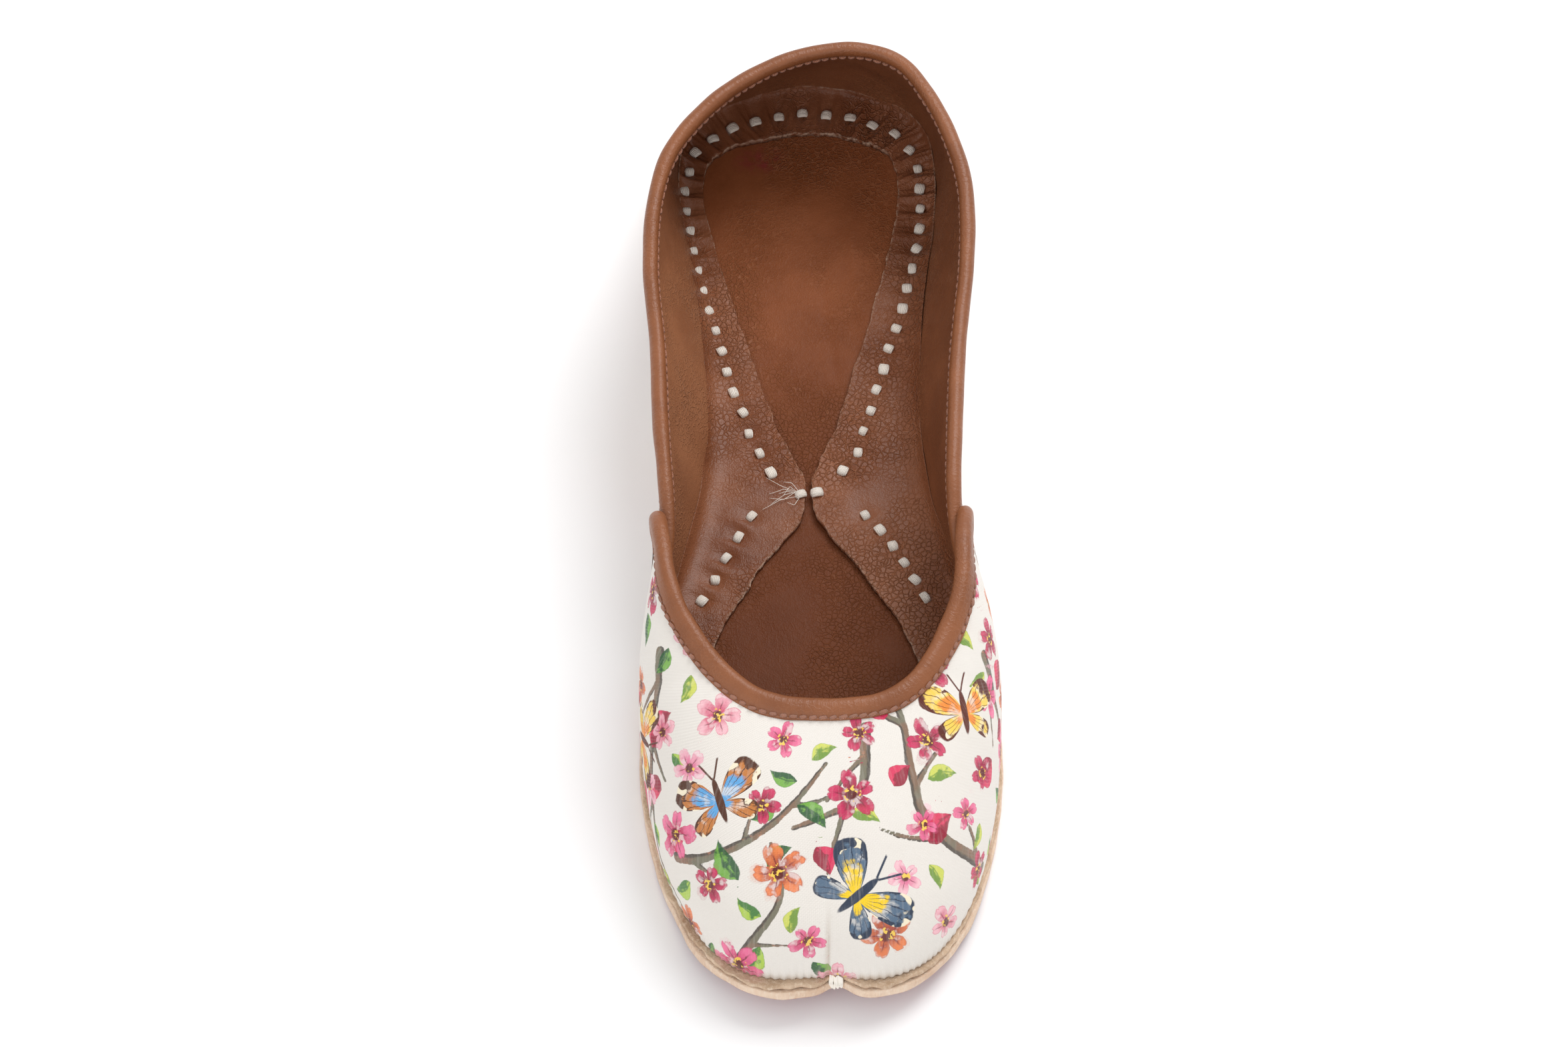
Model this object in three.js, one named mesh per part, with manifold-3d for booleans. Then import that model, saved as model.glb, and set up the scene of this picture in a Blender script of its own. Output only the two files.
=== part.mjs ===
// A mojari: a flat slip-on shoe of South Asia, with a printed cloth upper over a leather lining,
// a rolled leather binding at its mouth and a hand-stitched leather sole.
// Millimetres, +Z up, toe towards -Y, standing on its sole. The last is straight, for either foot.

import * as THREE from "three";
import { mergeVertices } from "three/addons/utils/BufferGeometryUtils.js";
import Module from "manifold-3d";

const wasm = await Module();
wasm.setup();

// Driving sizes.
const SOLE_LENGTH = 260;
const BALL_WIDTH = 87;
const INSTEP_HEIGHT = 45; // floor to the middle of the throat
const HEEL_HEIGHT = 54; // floor to the back of the collar
const TOE_SPRING = 7;
const OUTSOLE_THICKNESS = 3.2;
const MIDSOLE_THICKNESS = 1.4;
const LIFT_THICKNESS = 2.6; // the extra layer under the heel
const INSOLE_THICKNESS = 2;
const MARGIN_THICKNESS = 1.3; // the lining turned in over the insole
const MARGIN_COVE = 4; // how far that lining climbs the wall
const MARGIN_COVE_WIDTH = 6;
const MARGIN_SHIFT = -1.5; // its crossing lies a little to one side
const MARGIN_SLIT = 0.6; // between its two edges where they meet at the waist
const WALL = 1.5; // cloth, paste and lining together
const CLEARANCE = 0.3; // between two pieces that touch
const SOLE_LEDGE = 1.6; // of sole that shows outside the upper
const VAMP_STEP = 1.2; // how far the vamp's wings lie outside the quarter they overlap
const WING_FLARE = 0.9; // how much further they stand off at the top, round the quarter's binding
const WING_CORNER = 6; // radius of a wing's rounded top corner
const QUARTER_TUCK = 1.2; // how far the quarter's front end leans in behind the vamp
const BINDING_THICKNESS = 0.8;
const BINDING_ROLL = 0.2; // how much fuller the binding is along its fold
const VAMP_BINDING_OUTSIDE = 3; // depth of the binding's legs
const VAMP_BINDING_INSIDE = 4;
const QUARTER_BINDING_OUTSIDE = 4.5;
const QUARTER_BINDING_INSIDE = 9;
const NOTCH_DEPTH = 2.6; // in the tip of the sole, where the toe is drawn in by its last stitch
const NOTCH_WIDTH = 7;
const NOTCH_SHIFT = 2.5;

// Where things begin and end along the sole, as shares of its length from the toe.
const SPRING_END = 0.18;
const FOREFOOT_END = 0.46;
const HEEL_BREAST = 0.765;
const SPINE_START = 0.12;
const SPINE_END = 0.87;

// One row for each section round half of the shoe, from the middle of the toe to the middle of the heel.
// half: of the ball's half width. along: of the sole's length. climb: from the instep's height to the heel's.
// ledge: of the sole's ledge. rise and drop: of the instep's height. bulge and reach: of the ball's width.
const SECTIONS = [
  { name: "toe", half: 0, along: 0.003, ledge: 1.9, collarHalf: 0, collarAlong: 0.218, climb: 0, lean: 1.2, rise: 0.28, bulge: 0.02, reach: 0.3, drop: 0.08, edgeHalf: 0, edgeAlong: 0.062 },
  { name: "toe_lobe", half: 0.276, along: 0, ledge: 1.9, collarHalf: 0.126, collarAlong: 0.219, climb: 0, lean: 1.2, rise: 0.28, bulge: 0.02, reach: 0.29, drop: 0.08, edgeHalf: 0.207, edgeAlong: 0.065 },
  { name: "toe_corner", half: 0.529, along: 0.018, ledge: 1.6, collarHalf: 0.264, collarAlong: 0.223, climb: 0.01, lean: 1.1, rise: 0.3, bulge: 0.022, reach: 0.26, drop: 0.085, edgeHalf: 0.391, edgeAlong: 0.081 },
  { name: "toe_side", half: 0.724, along: 0.058, ledge: 1.2, collarHalf: 0.398, collarAlong: 0.233, climb: 0.04, lean: 0.9, rise: 0.34, bulge: 0.025, reach: 0.22, drop: 0.09, edgeHalf: 0.517, edgeAlong: 0.112 },
  { name: "small_toe", half: 0.874, along: 0.119, ledge: 1, collarHalf: 0.529, collarAlong: 0.253, climb: 0.11, lean: 0.6, rise: 0.39, bulge: 0.03, reach: 0.18, drop: 0.1, edgeHalf: 0.609, edgeAlong: 0.162 },
  { name: "ball_front", half: 0.97, along: 0.192, ledge: 1, collarHalf: 0.648, collarAlong: 0.283, climb: 0.2, lean: 0, rise: 0.44, bulge: 0.034, reach: 0.14, drop: 0.11, edgeHalf: 0.655, edgeAlong: 0.219 },
  { name: "ball", half: 1, along: 0.269, ledge: 1, collarHalf: 0.745, collarAlong: 0.323, climb: 0.33, lean: -0.6, rise: 0.46, bulge: 0.02, reach: 0.1, drop: 0.15, edgeHalf: 0.655, edgeAlong: 0.292 },
  { name: "wing", half: 0.938, along: 0.369, ledge: 1, collarHalf: 0.765, collarAlong: 0.377, climb: 0.5, lean: -1.3, rise: 0.4, bulge: 0.034, reach: 0.04, drop: 0.26, edgeHalf: 0.517, edgeAlong: 0.377 },
  { name: "seam", half: 0.793, along: 0.45, ledge: 0.9, collarHalf: 0.79, collarAlong: 0.45, climb: 0.48, lean: -1.8, rise: 0.35, bulge: 0.04, reach: 0.008, drop: 0.3, edgeHalf: 0.283, edgeAlong: 0.446 },
  { name: "waist", half: 0.655, along: 0.538, ledge: 0.8, collarHalf: 0.807, collarAlong: 0.527, climb: 0.17, lean: -1.8, rise: 0.33, bulge: 0.046, reach: 0, drop: 0.31, edgeHalf: 0, edgeAlong: 0.526 },
  { name: "waist_back", half: 0.611, along: 0.635, ledge: 0.8, collarHalf: 0.832, collarAlong: 0.608, climb: 0.11, lean: -1.3, rise: 0.33, bulge: 0.057, reach: 0, drop: 0.31, edgeHalf: 0.172, edgeAlong: 0.608 },
  { name: "heel_front", half: 0.657, along: 0.738, ledge: 0.9, collarHalf: 0.878, collarAlong: 0.692, climb: 0.3, lean: -0.7, rise: 0.34, bulge: 0.062, reach: 0.006, drop: 0.31, edgeHalf: 0.345, edgeAlong: 0.704 },
  { name: "heel_side", half: 0.747, along: 0.823, ledge: 1, collarHalf: 0.864, collarAlong: 0.767, climb: 0.5, lean: 0.2, rise: 0.36, bulge: 0.057, reach: 0.017, drop: 0.31, edgeHalf: 0.478, edgeAlong: 0.79 },
  { name: "heel_back_side", half: 0.786, along: 0.888, ledge: 1, collarHalf: 0.772, collarAlong: 0.821, climb: 0.69, lean: 1.2, rise: 0.38, bulge: 0.046, reach: 0.029, drop: 0.31, edgeHalf: 0.556, edgeAlong: 0.858 },
  { name: "heel_corner", half: 0.722, along: 0.944, ledge: 1, collarHalf: 0.579, collarAlong: 0.87, climb: 0.86, lean: 4, rise: 0.36, bulge: 0.03, reach: 0.046, drop: 0.31, edgeHalf: 0.51, edgeAlong: 0.908 },
  { name: "heel_round", half: 0.483, along: 0.98, ledge: 1, collarHalf: 0.322, collarAlong: 0.906, climb: 0.96, lean: 8, rise: 0.38, bulge: 0.03, reach: 0.069, drop: 0.31, edgeHalf: 0.299, edgeAlong: 0.929 },
  { name: "heel", half: 0, along: 1, ledge: 1, collarHalf: 0, collarAlong: 0.919, climb: 1, lean: 10, rise: 0.4, bulge: 0.032, reach: 0.08, drop: 0.31, edgeHalf: 0, edgeAlong: 0.937 },
];
const HALF_STEPS = SECTIONS.length - 1;
const RING_STEPS = 2 * HALF_STEPS;

// A place round the shoe is a share of a full turn: 0 at the toe, 0.5 at the heel, rising along the +X side.
const sectionAt = (name) => SECTIONS.findIndex((row) => row.name === name) / RING_STEPS;
const SEAM = sectionAt("seam") - 0.4 / RING_STEPS; // the vamp's rear edge
const TUCK = sectionAt("wing") - 0.1 / RING_STEPS; // the quarter's front end, inside the vamp
const FADE = sectionAt("ball_front"); // where the vamp starts to stand off the quarter
const LEVEL = sectionAt("waist"); // behind this the quarter is as high as the form
const TUCK_TOP = 0.72; // how much of the wall's height the quarter still has at its front end
const STAND_OFF = 0.5; // above this share of the height the wings flare

const smooth = (x) => {
  const t = Math.min(1, Math.max(0, x));
  return t * t * (3 - 2 * t);
};

// Sole heights at a distance s from the toe.
const springOf = (s) => TOE_SPRING * Math.max(0, 1 - s / (SPRING_END * SOLE_LENGTH)) ** 2;
const seatOf = (s) =>
  (LIFT_THICKNESS + CLEARANCE) *
  smooth((s / SOLE_LENGTH - FOREFOOT_END) / (HEEL_BREAST - 0.02 - FOREFOOT_END));
const outsoleBottom = (s) => springOf(s) + seatOf(s);
const outsoleTop = (s) => outsoleBottom(s) + OUTSOLE_THICKNESS;
const midsoleBottom = (s) => outsoleTop(s) + CLEARANCE;
const midsoleTop = (s) => midsoleBottom(s) + MIDSOLE_THICKNESS;
const featherHeight = (s) => midsoleTop(s) + CLEARANCE;
const insoleTop = (s) => featherHeight(s) + INSOLE_THICKNESS;
const marginBottom = (s) => insoleTop(s) + CLEARANCE;

// A closed smooth curve through one point for each section, on both sides.
function ring(pointOf) {
  const points = [];
  for (let i = 0; i < RING_STEPS; i++) {
    const row = SECTIONS[i <= HALF_STEPS ? i : RING_STEPS - i];
    points.push(pointOf(row, i <= HALF_STEPS ? 1 : -1, i / RING_STEPS));
  }
  return new THREE.CatmullRomCurve3(points, true, "catmullrom", 0.5);
}
const turn = (u) => u - Math.floor(u);
const at = (curve, u) => curve.getPoint(turn(u));

const soleRing = ring(
  (row, side) => new THREE.Vector3((side * row.half * BALL_WIDTH) / 2, row.along * SOLE_LENGTH, 0),
);

// The sole's outward normal in plan.
function outward(u) {
  const step = 1e-3;
  const along = at(soleRing, u + step).sub(at(soleRing, u - step));
  return new THREE.Vector3(along.y, -along.x, 0).normalize();
}

const UP = new THREE.Vector3(0, 0, 1);
const moved = (p, u, out, up) => p.clone().addScaledVector(outward(u), out).addScaledVector(UP, up);

const featherRing = ring((row, side, u) => {
  const p = moved(at(soleRing, u), u, -row.ledge * SOLE_LEDGE - WALL / 2, 0);
  return p.setZ(featherHeight(p.y));
});
const collarRing = ring(
  (row, side) =>
    new THREE.Vector3(
      (side * row.collarHalf * BALL_WIDTH) / 2 + row.lean,
      row.collarAlong * SOLE_LENGTH,
      INSTEP_HEIGHT + row.climb * (HEEL_HEIGHT - INSTEP_HEIGHT),
    ),
);
const lowHandleRing = ring((row, side, u) =>
  moved(at(featherRing, u), u, row.bulge * BALL_WIDTH, row.rise * INSTEP_HEIGHT),
);
const highHandleRing = ring((row, side, u) =>
  moved(at(collarRing, u), u, row.reach * BALL_WIDTH, -row.drop * INSTEP_HEIGHT),
);

// The upper's middle surface: u is the place round the shoe, v runs from the sole at 0 to the collar at 1.
function form(u, v) {
  const w = 1 - v;
  return at(featherRing, u)
    .multiplyScalar(w * w * w)
    .addScaledVector(at(lowHandleRing, u), 3 * w * w * v)
    .addScaledVector(at(highHandleRing, u), 3 * w * v * v)
    .addScaledVector(at(collarRing, u), v * v * v);
}
function formNormal(u, v) {
  const step = 1e-3;
  const round = form(u + step, v).sub(form(u - step, v));
  const climb = form(u, v + step).sub(form(u, v - step));
  return round.cross(climb).normalize();
}

// Distance round the shoe from the toe, as a share of a turn, whichever side.
const fromToe = (u) => Math.min(turn(u), 1 - turn(u));

// Shares of a turn and of the form's height that span the wing's rounded corner.
const CORNER_TURN = WING_CORNER / form(SEAM + 0.5, 1).distanceTo(form(SEAM, 1)) / 4;
const CORNER_CLIMB = WING_CORNER / INSTEP_HEIGHT;

// How far the vamp and the quarter lie outside the form, and their tops as shares of its height.
const vampOffset = (u, v) =>
  smooth((fromToe(u) - FADE) / (TUCK - FADE)) *
  (VAMP_STEP + WING_FLARE * smooth((v - STAND_OFF) / (1 - STAND_OFF)));
const quarterOffset = (u, v) =>
  -QUARTER_TUCK *
  (1 - smooth((fromToe(u) - TUCK) / (LEVEL - TUCK))) *
  smooth((v - STAND_OFF) / (1 - STAND_OFF));
const vampTop = (u) => {
  const t = Math.min(1, Math.max(0, 1 - (SEAM - fromToe(u)) / CORNER_TURN));
  return 1 - CORNER_CLIMB * (1 - Math.sqrt(1 - t * t));
};
const quarterTop = (u) =>
  TUCK_TOP + (1 - TUCK_TOP) * Math.sin((Math.PI / 2) * Math.min(1, (fromToe(u) - TUCK) / (LEVEL - TUCK)));

// A point on one face of a wall: out is the distance outside the wall's own middle surface.
function wallPoint(u, v, out, offsetOf) {
  return form(u, v).addScaledVector(formNormal(u, v), offsetOf(u, v) + out);
}

// Geometry from a list of equal point lists: each is a section's closed outline, and they are joined in order.
function loft(sections, closed) {
  const n = sections[0].length;
  const positions = sections.flat().flatMap((p) => [p.x, p.y, p.z]);
  const index = [];
  const last = closed ? sections.length : sections.length - 1;
  for (let i = 0; i < last; i++) {
    const a = i * n;
    const b = ((i + 1) % sections.length) * n;
    for (let j = 0; j < n; j++) {
      const k = (j + 1) % n;
      index.push(a + j, b + j, b + k, a + j, b + k, a + k);
    }
  }
  if (!closed) {
    const cap = (points, start, flip) => {
      const centre = points.reduce((sum, p) => sum.add(p), new THREE.Vector3()).divideScalar(n);
      const normal = new THREE.Vector3();
      points.forEach((p, j) => normal.add(p.clone().sub(centre).cross(points[(j + 1) % n].clone().sub(centre))));
      normal.normalize();
      const across = points[1].clone().sub(points[0]).projectOnPlane(normal).normalize();
      const other = normal.clone().cross(across);
      const flat = points.map((p) => new THREE.Vector2(p.clone().sub(centre).dot(across), p.clone().sub(centre).dot(other)));
      for (const [x, y, z] of THREE.ShapeUtils.triangulateShape(flat, [])) {
        index.push(start + x, start + (flip ? z : y), start + (flip ? y : z));
      }
    };
    cap(sections[0], 0, false);
    cap(sections.at(-1), (sections.length - 1) * n, true);
  }
  const geometry = new THREE.BufferGeometry();
  geometry.setAttribute("position", new THREE.Float32BufferAttribute(positions, 3));
  geometry.setIndex(index);
  return geometry;
}

// Solids for cutting and joining, and back.
function solid(geometry) {
  const plain = geometry.clone();
  plain.deleteAttribute("normal");
  plain.deleteAttribute("uv");
  const merged = mergeVertices(plain, 1e-4);
  const made = new wasm.Manifold(
    new wasm.Mesh({
      numProp: 3,
      vertProperties: new Float32Array(merged.attributes.position.array),
      triVerts: new Uint32Array(merged.index.array),
    }),
  );
  if (made.volume() >= 0) return made;
  const index = merged.index.array;
  const turned = new Uint32Array(index.length);
  for (let i = 0; i < index.length; i += 3) turned.set([index[i], index[i + 2], index[i + 1]], i);
  return new wasm.Manifold(
    new wasm.Mesh({
      numProp: 3,
      vertProperties: new Float32Array(merged.attributes.position.array),
      triVerts: turned,
    }),
  );
}
function geometryOf(made) {
  const mesh = made.getMesh();
  const positions = new Float32Array(mesh.numVert * 3);
  for (let i = 0; i < mesh.numVert; i++) {
    positions.set(mesh.vertProperties.subarray(i * mesh.numProp, i * mesh.numProp + 3), i * 3);
  }
  const geometry = new THREE.BufferGeometry();
  geometry.setAttribute("position", new THREE.BufferAttribute(positions, 3));
  geometry.setIndex(new THREE.BufferAttribute(mesh.triVerts, 1));
  return geometry;
}

// Evenly spaced places from one share of a turn to another, both included.
const places = (from, to, steps) => Array.from({ length: steps + 1 }, (_, i) => from + ((to - from) * i) / steps);

// A wall of even thickness between two places round the shoe, from the sole to its own top edge.
const WALL_STEPS = 8;
const STEP_CROWDING = 1.25; // above 1, the steps lie closer together near the sole
const wallShare = (step) => (step / WALL_STEPS) ** STEP_CROWDING;
function wallSolid(stations, topOf, offsetOf, thickness, lowest = 0) {
  const sections = stations.map((u) => {
    const top = topOf(u);
    const line = (out) =>
      places(0, WALL_STEPS, WALL_STEPS).map((step) => {
        const share = step === 0 ? lowest : wallShare(step);
        const p = wallPoint(u, share * top, out, offsetOf);
        return share === 0 ? p.setZ(featherHeight(p.y)) : p;
      });
    return [...line(thickness / 2), ...line(-thickness / 2).reverse()];
  });
  return solid(loft(sections, false));
}

const cornerStations = places(0, Math.PI / 2, 4).map((angle) => SEAM - CORNER_TURN * (1 - Math.sin(angle)));
const VAMP_STATIONS = [
  ...cornerStations.map((u) => -u).reverse(),
  ...places(CORNER_TURN - SEAM, SEAM - CORNER_TURN, 40).slice(1, -1),
  ...cornerStations,
];
const QUARTER_STATIONS = places(TUCK, 1 - TUCK, 58);
const RING_STATIONS = [...VAMP_STATIONS, ...QUARTER_STATIONS.filter((u) => u > SEAM && u < 1 - SEAM)];
const vampWall = wallSolid(VAMP_STATIONS, vampTop, vampOffset, WALL);
const quarterWall = wallSolid(QUARTER_STATIONS, quarterTop, quarterOffset, WALL);
const upper = vampWall.add(quarterWall);

// A point beside a wall's flat steps rather than its smooth form, so that what lies on it clears it evenly.
function facePoint(u, v, out, topOf, offsetOf) {
  const top = topOf(u);
  const share = Math.min(1, Math.max(0, v / top));
  const step = Math.min(WALL_STEPS - 1, Math.floor(WALL_STEPS * share ** (1 / STEP_CROWDING)));
  const [low, high] = [wallShare(step), wallShare(step + 1)];
  const from = wallPoint(u, low * top, out, offsetOf);
  const to = wallPoint(u, high * top, out, offsetOf);
  return from.lerp(to, (share - low) / (high - low));
}

// The place on a wall a given distance from an edge point, square to the edge.
function inFrom(place, along, distance, offsetOf) {
  const step = 1e-3;
  const { u, v } = place;
  const round = wallPoint(u + step, v, 0, offsetOf).sub(wallPoint(u - step, v, 0, offsetOf)).divideScalar(2 * step);
  const climb = wallPoint(u, v + step, 0, offsetOf).sub(wallPoint(u, v - step, 0, offsetOf)).divideScalar(2 * step);
  const inward = along.clone().cross(formNormal(u, v)).normalize();
  const [a, b, c] = [round.dot(round), round.dot(climb), climb.dot(climb)];
  const [p, q] = [round.dot(inward) * distance, climb.dot(inward) * distance];
  const scale = a * c - b * b;
  return { u: u + (c * p - b * q) / scale, v: v + (a * q - b * p) / scale };
}

// A binding folded over the edge of a wall: a leg on each face, fuller along the fold.
// Its path runs the way that keeps the wall on its right hand, seen from outside.
const FOLD_STEPS = 5;
const LONG_LEG = 6;
function bindingSolid(path, topOf, offsetOf, outside, inside, grown = 0) {
  const near = WALL / 2 + CLEARANCE - grown;
  const far = WALL / 2 + CLEARANCE + BINDING_THICKNESS + grown;
  const edges = path.map(({ u, v }) => wallPoint(u, v, 0, offsetOf));
  const sections = path.map((place, i) => {
    const edge = edges[i];
    const along = edges[Math.min(i + 1, edges.length - 1)].clone().sub(edges[Math.max(i - 1, 0)]).normalize();
    const normal = formNormal(place.u, place.v);
    const away = normal.clone().cross(along).normalize();
    const leg = (depth, out) =>
      (depth > LONG_LEG ? [depth, depth / 2] : [depth]).map((distance) => {
        const { u, v } = inFrom(place, along, distance, offsetOf);
        return facePoint(u, v, out, topOf, offsetOf);
      });
    const fold = places(0, Math.PI, FOLD_STEPS).map((angle) =>
      edge
        .clone()
        .addScaledVector(normal, (far + BINDING_ROLL) * Math.cos(angle))
        .addScaledVector(away, (far + BINDING_ROLL) * Math.sin(angle) - BINDING_ROLL),
    );
    const corner = (out) => edge.clone().addScaledVector(normal, out).addScaledVector(away, CLEARANCE - grown);
    return [
      ...leg(outside, far),
      ...fold,
      ...leg(inside, -far).reverse(),
      ...leg(inside, -near),
      corner(-near),
      corner(near),
      ...leg(outside, near).reverse(),
    ].reverse();
  });
  return solid(loft(sections, false));
}

// The vamp's binding also turns down the rear edges of its wings, as far as the sole.
const REAR_END = 0.1;
const rearEdge = (u) => places(REAR_END, 1 - CORNER_CLIMB, 5).slice(0, -1).map((v) => ({ u, v }));
const vampPath = [
  ...rearEdge(-SEAM),
  ...VAMP_STATIONS.map((u) => ({ u, v: vampTop(u) })),
  ...rearEdge(SEAM).reverse(),
];
const quarterPath = QUARTER_STATIONS.map((u) => ({ u, v: quarterTop(u) }));

// The space a wall takes up with a clearance all round, cut from what passes beside it.
const BELOW_SOLE = -0.01;
const MARGIN_TURN = (CLEARANCE * CORNER_TURN) / WING_CORNER;
function wallRoom(stations, topOf, offsetOf) {
  const wider = [stations[0] - MARGIN_TURN, ...stations, stations.at(-1) + MARGIN_TURN];
  const higher = (u) => topOf(u) + CLEARANCE / INSTEP_HEIGHT;
  return wallSolid(wider, higher, offsetOf, WALL + 2 * CLEARANCE, BELOW_SOLE);
}
const largest = (made) => made.decompose().reduce((best, piece) => (piece.volume() > best.volume() ? piece : best));

// Where vamp and quarter overlap, each binding is trimmed to clear what lies beside it.
const vampBindingWith = (grown) =>
  bindingSolid(vampPath, vampTop, vampOffset, VAMP_BINDING_OUTSIDE + grown, VAMP_BINDING_INSIDE + grown, grown);
const vampBinding = largest(
  vampBindingWith(0)
    .subtract(wallSolid(VAMP_STATIONS, vampTop, vampOffset, WALL + CLEARANCE, BELOW_SOLE))
    .subtract(wallRoom(QUARTER_STATIONS, quarterTop, quarterOffset)),
);
const quarterBinding = largest(
  bindingSolid(quarterPath, quarterTop, quarterOffset, QUARTER_BINDING_OUTSIDE, QUARTER_BINDING_INSIDE)
    .subtract(wallRoom(VAMP_STATIONS, vampTop, vampOffset))
    .subtract(vampBindingWith(CLEARANCE)),
);

// The sole's outline at a place, moved in by a distance, with the notch at the toe.
function soleEdge(u, inset) {
  const p = moved(at(soleRing, u), u, -inset, 0);
  const across = (p.x - NOTCH_SHIFT) / (NOTCH_WIDTH / 2);
  if (p.y < SPINE_START * SOLE_LENGTH) p.y += NOTCH_DEPTH * Math.exp(-across * across);
  return p;
}

// The point of the sole's centre line that a point of its edge is joined to.
const spineOf = (p) =>
  new THREE.Vector3(0, Math.min(SPINE_END, Math.max(SPINE_START, p.y / SOLE_LENGTH)) * SOLE_LENGTH, 0);

const TOE_STATIONS = places(-1 / RING_STEPS, 1 / RING_STEPS, 12);
const SOLE_STATIONS = [...TOE_STATIONS, ...places(1 / RING_STEPS, 1 - 1 / RING_STEPS, 60).slice(1, -1)];

// A layer of the sole: an outline filled in from its centre line, between two heights along the shoe.
function layerGeometry(outline, spine, bottomOf, topOf) {
  const shares = [1, 0.55, 0];
  const face = (heightOf) =>
    shares.map((share) =>
      outline.map((p) => {
        const q = spine(p).lerp(p, share);
        return q.setZ(heightOf(q.y));
      }),
    );
  const rings = [...face(bottomOf).reverse(), ...face(topOf)];
  const n = outline.length;
  const positions = rings.flat().flatMap((p) => [p.x, p.y, p.z]);
  const index = [];
  for (let i = 0; i + 1 < rings.length; i++) {
    for (let j = 0; j < n; j++) {
      const k = (j + 1) % n;
      const [a, b, c, d] = [i * n + j, i * n + k, (i + 1) * n + k, (i + 1) * n + j];
      for (const triangle of [[a, b, c], [a, c, d]]) {
        const [p, q, r] = triangle.map((m) => rings[Math.floor(m / n)][m % n]);
        if (q.clone().sub(p).cross(r.clone().sub(p)).length() > 1e-6) index.push(...triangle);
      }
    }
  }
  const geometry = new THREE.BufferGeometry();
  geometry.setAttribute("position", new THREE.Float32BufferAttribute(positions, 3));
  geometry.setIndex(index);
  return geometry;
}

const soleOutline = SOLE_STATIONS.map((u) => soleEdge(u, 0));
const outsole = solid(layerGeometry(soleOutline, spineOf, outsoleBottom, outsoleTop));
const midsoleOutline = SOLE_STATIONS.map((u) => soleEdge(u, SOLE_LEDGE / 4));
const midsole = solid(layerGeometry(midsoleOutline, spineOf, midsoleBottom, midsoleTop));

const insoleEdge = (u) => {
  const p = at(featherRing, u);
  return moved(p, u, -WALL / 2 - CLEARANCE, 0);
};
const insole = solid(layerGeometry(RING_STATIONS.map(insoleEdge), spineOf, featherHeight, insoleTop));

// The heel lift: the back of the sole's outline, closed by a straight breast.
const breast = HEEL_BREAST * SOLE_LENGTH;
const liftCurve = SOLE_STATIONS.map((u) => soleEdge(u, 0)).filter((p) => p.y > breast + 1);
const breastHalf = (side) => {
  const inside = places(0.5, 0.5 - side * 0.45, 400).map((u) => at(soleRing, u));
  return inside.find((p) => p.y < breast).x;
};
const breastLine = places(breastHalf(-1), breastHalf(1), 6).map((x) => new THREE.Vector3(x, breast, 0));
const liftCentre = () => new THREE.Vector3(0, (breast + SOLE_LENGTH) / 2, 0);
const lift = solid(
  layerGeometry(
    [...liftCurve, ...breastLine],
    liftCentre,
    () => 0,
    () => LIFT_THICKNESS,
  ),
);

// The lining's turned-in margin: it leaves the wall in a cove and lies on the insole as far as its edge.
const edgeRing = ring(
  (row, side) => new THREE.Vector3((side * row.edgeHalf * BALL_WIDTH) / 2, row.edgeAlong * SOLE_LENGTH, 0),
);
const edgePoint = (u) => {
  const p = at(edgeRing, u);
  const side = turn(u) < 0.5 ? 1 : -1;
  const offCentre = fromToe(u) > sectionAt("ball") && fromToe(u) < sectionAt("heel_corner");
  if (offCentre) p.x = side * Math.max(MARGIN_SLIT / 2, side * p.x);
  const share = smooth((fromToe(u) - sectionAt("ball_front")) * HALF_STEPS) * smooth((0.5 - fromToe(u)) * HALF_STEPS);
  p.x += MARGIN_SHIFT * share;
  return p;
};
// The point at a height that clears the wall's inner face.
function besideWall(u, height) {
  let [low, high] = [0, 0.6];
  let point;
  for (let i = 0; i < 16; i++) {
    const v = (low + high) / 2;
    point = facePoint(u, v, -WALL / 2 - CLEARANCE, vampTop, quarterOffset);
    if (point.z < height) low = v;
    else high = v;
  }
  return point;
}
const COVE_STEPS = 3;
const margin = (() => {
  const sections = RING_STATIONS.map((u) => {
    const foot = insoleEdge(u);
    const tip = edgePoint(u);
    const run = Math.hypot(tip.x - foot.x, tip.y - foot.y);
    const inward = (distance, up) => {
      const q = foot.clone().lerp(tip, distance / run);
      return q.setZ(marginBottom(q.y) + up);
    };
    const base = marginBottom(foot.y);
    const corner = besideWall(u, base);
    const high = besideWall(u, base + MARGIN_THICKNESS + MARGIN_COVE);
    const bend = besideWall(u, base + MARGIN_THICKNESS);
    const flat = inward(MARGIN_COVE_WIDTH, MARGIN_THICKNESS);
    const cove = new THREE.QuadraticBezierCurve3(high, bend, flat).getPoints(COVE_STEPS);
    return [inward(run, 0), inward(run / 2, 0), corner, ...cove, inward(run, MARGIN_THICKNESS)];
  });
  return solid(loft(sections, true));
})();

// Looks, taken from the photographed pair.
const leatherBrown = new THREE.MeshStandardMaterial({ color: 0x7a4a2c, roughness: 0.5, metalness: 0 });
const liningBrown = new THREE.MeshStandardMaterial({ color: 0x74452a, roughness: 0.55, metalness: 0 });
const clothCream = new THREE.MeshStandardMaterial({ color: 0xefe6dc, roughness: 0.9, metalness: 0 });
const soleRed = new THREE.MeshStandardMaterial({ color: 0xa81e2e, roughness: 0.5, metalness: 0 });
const rawLeather = new THREE.MeshStandardMaterial({ color: 0xd9b48c, roughness: 0.8, metalness: 0 });

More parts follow.
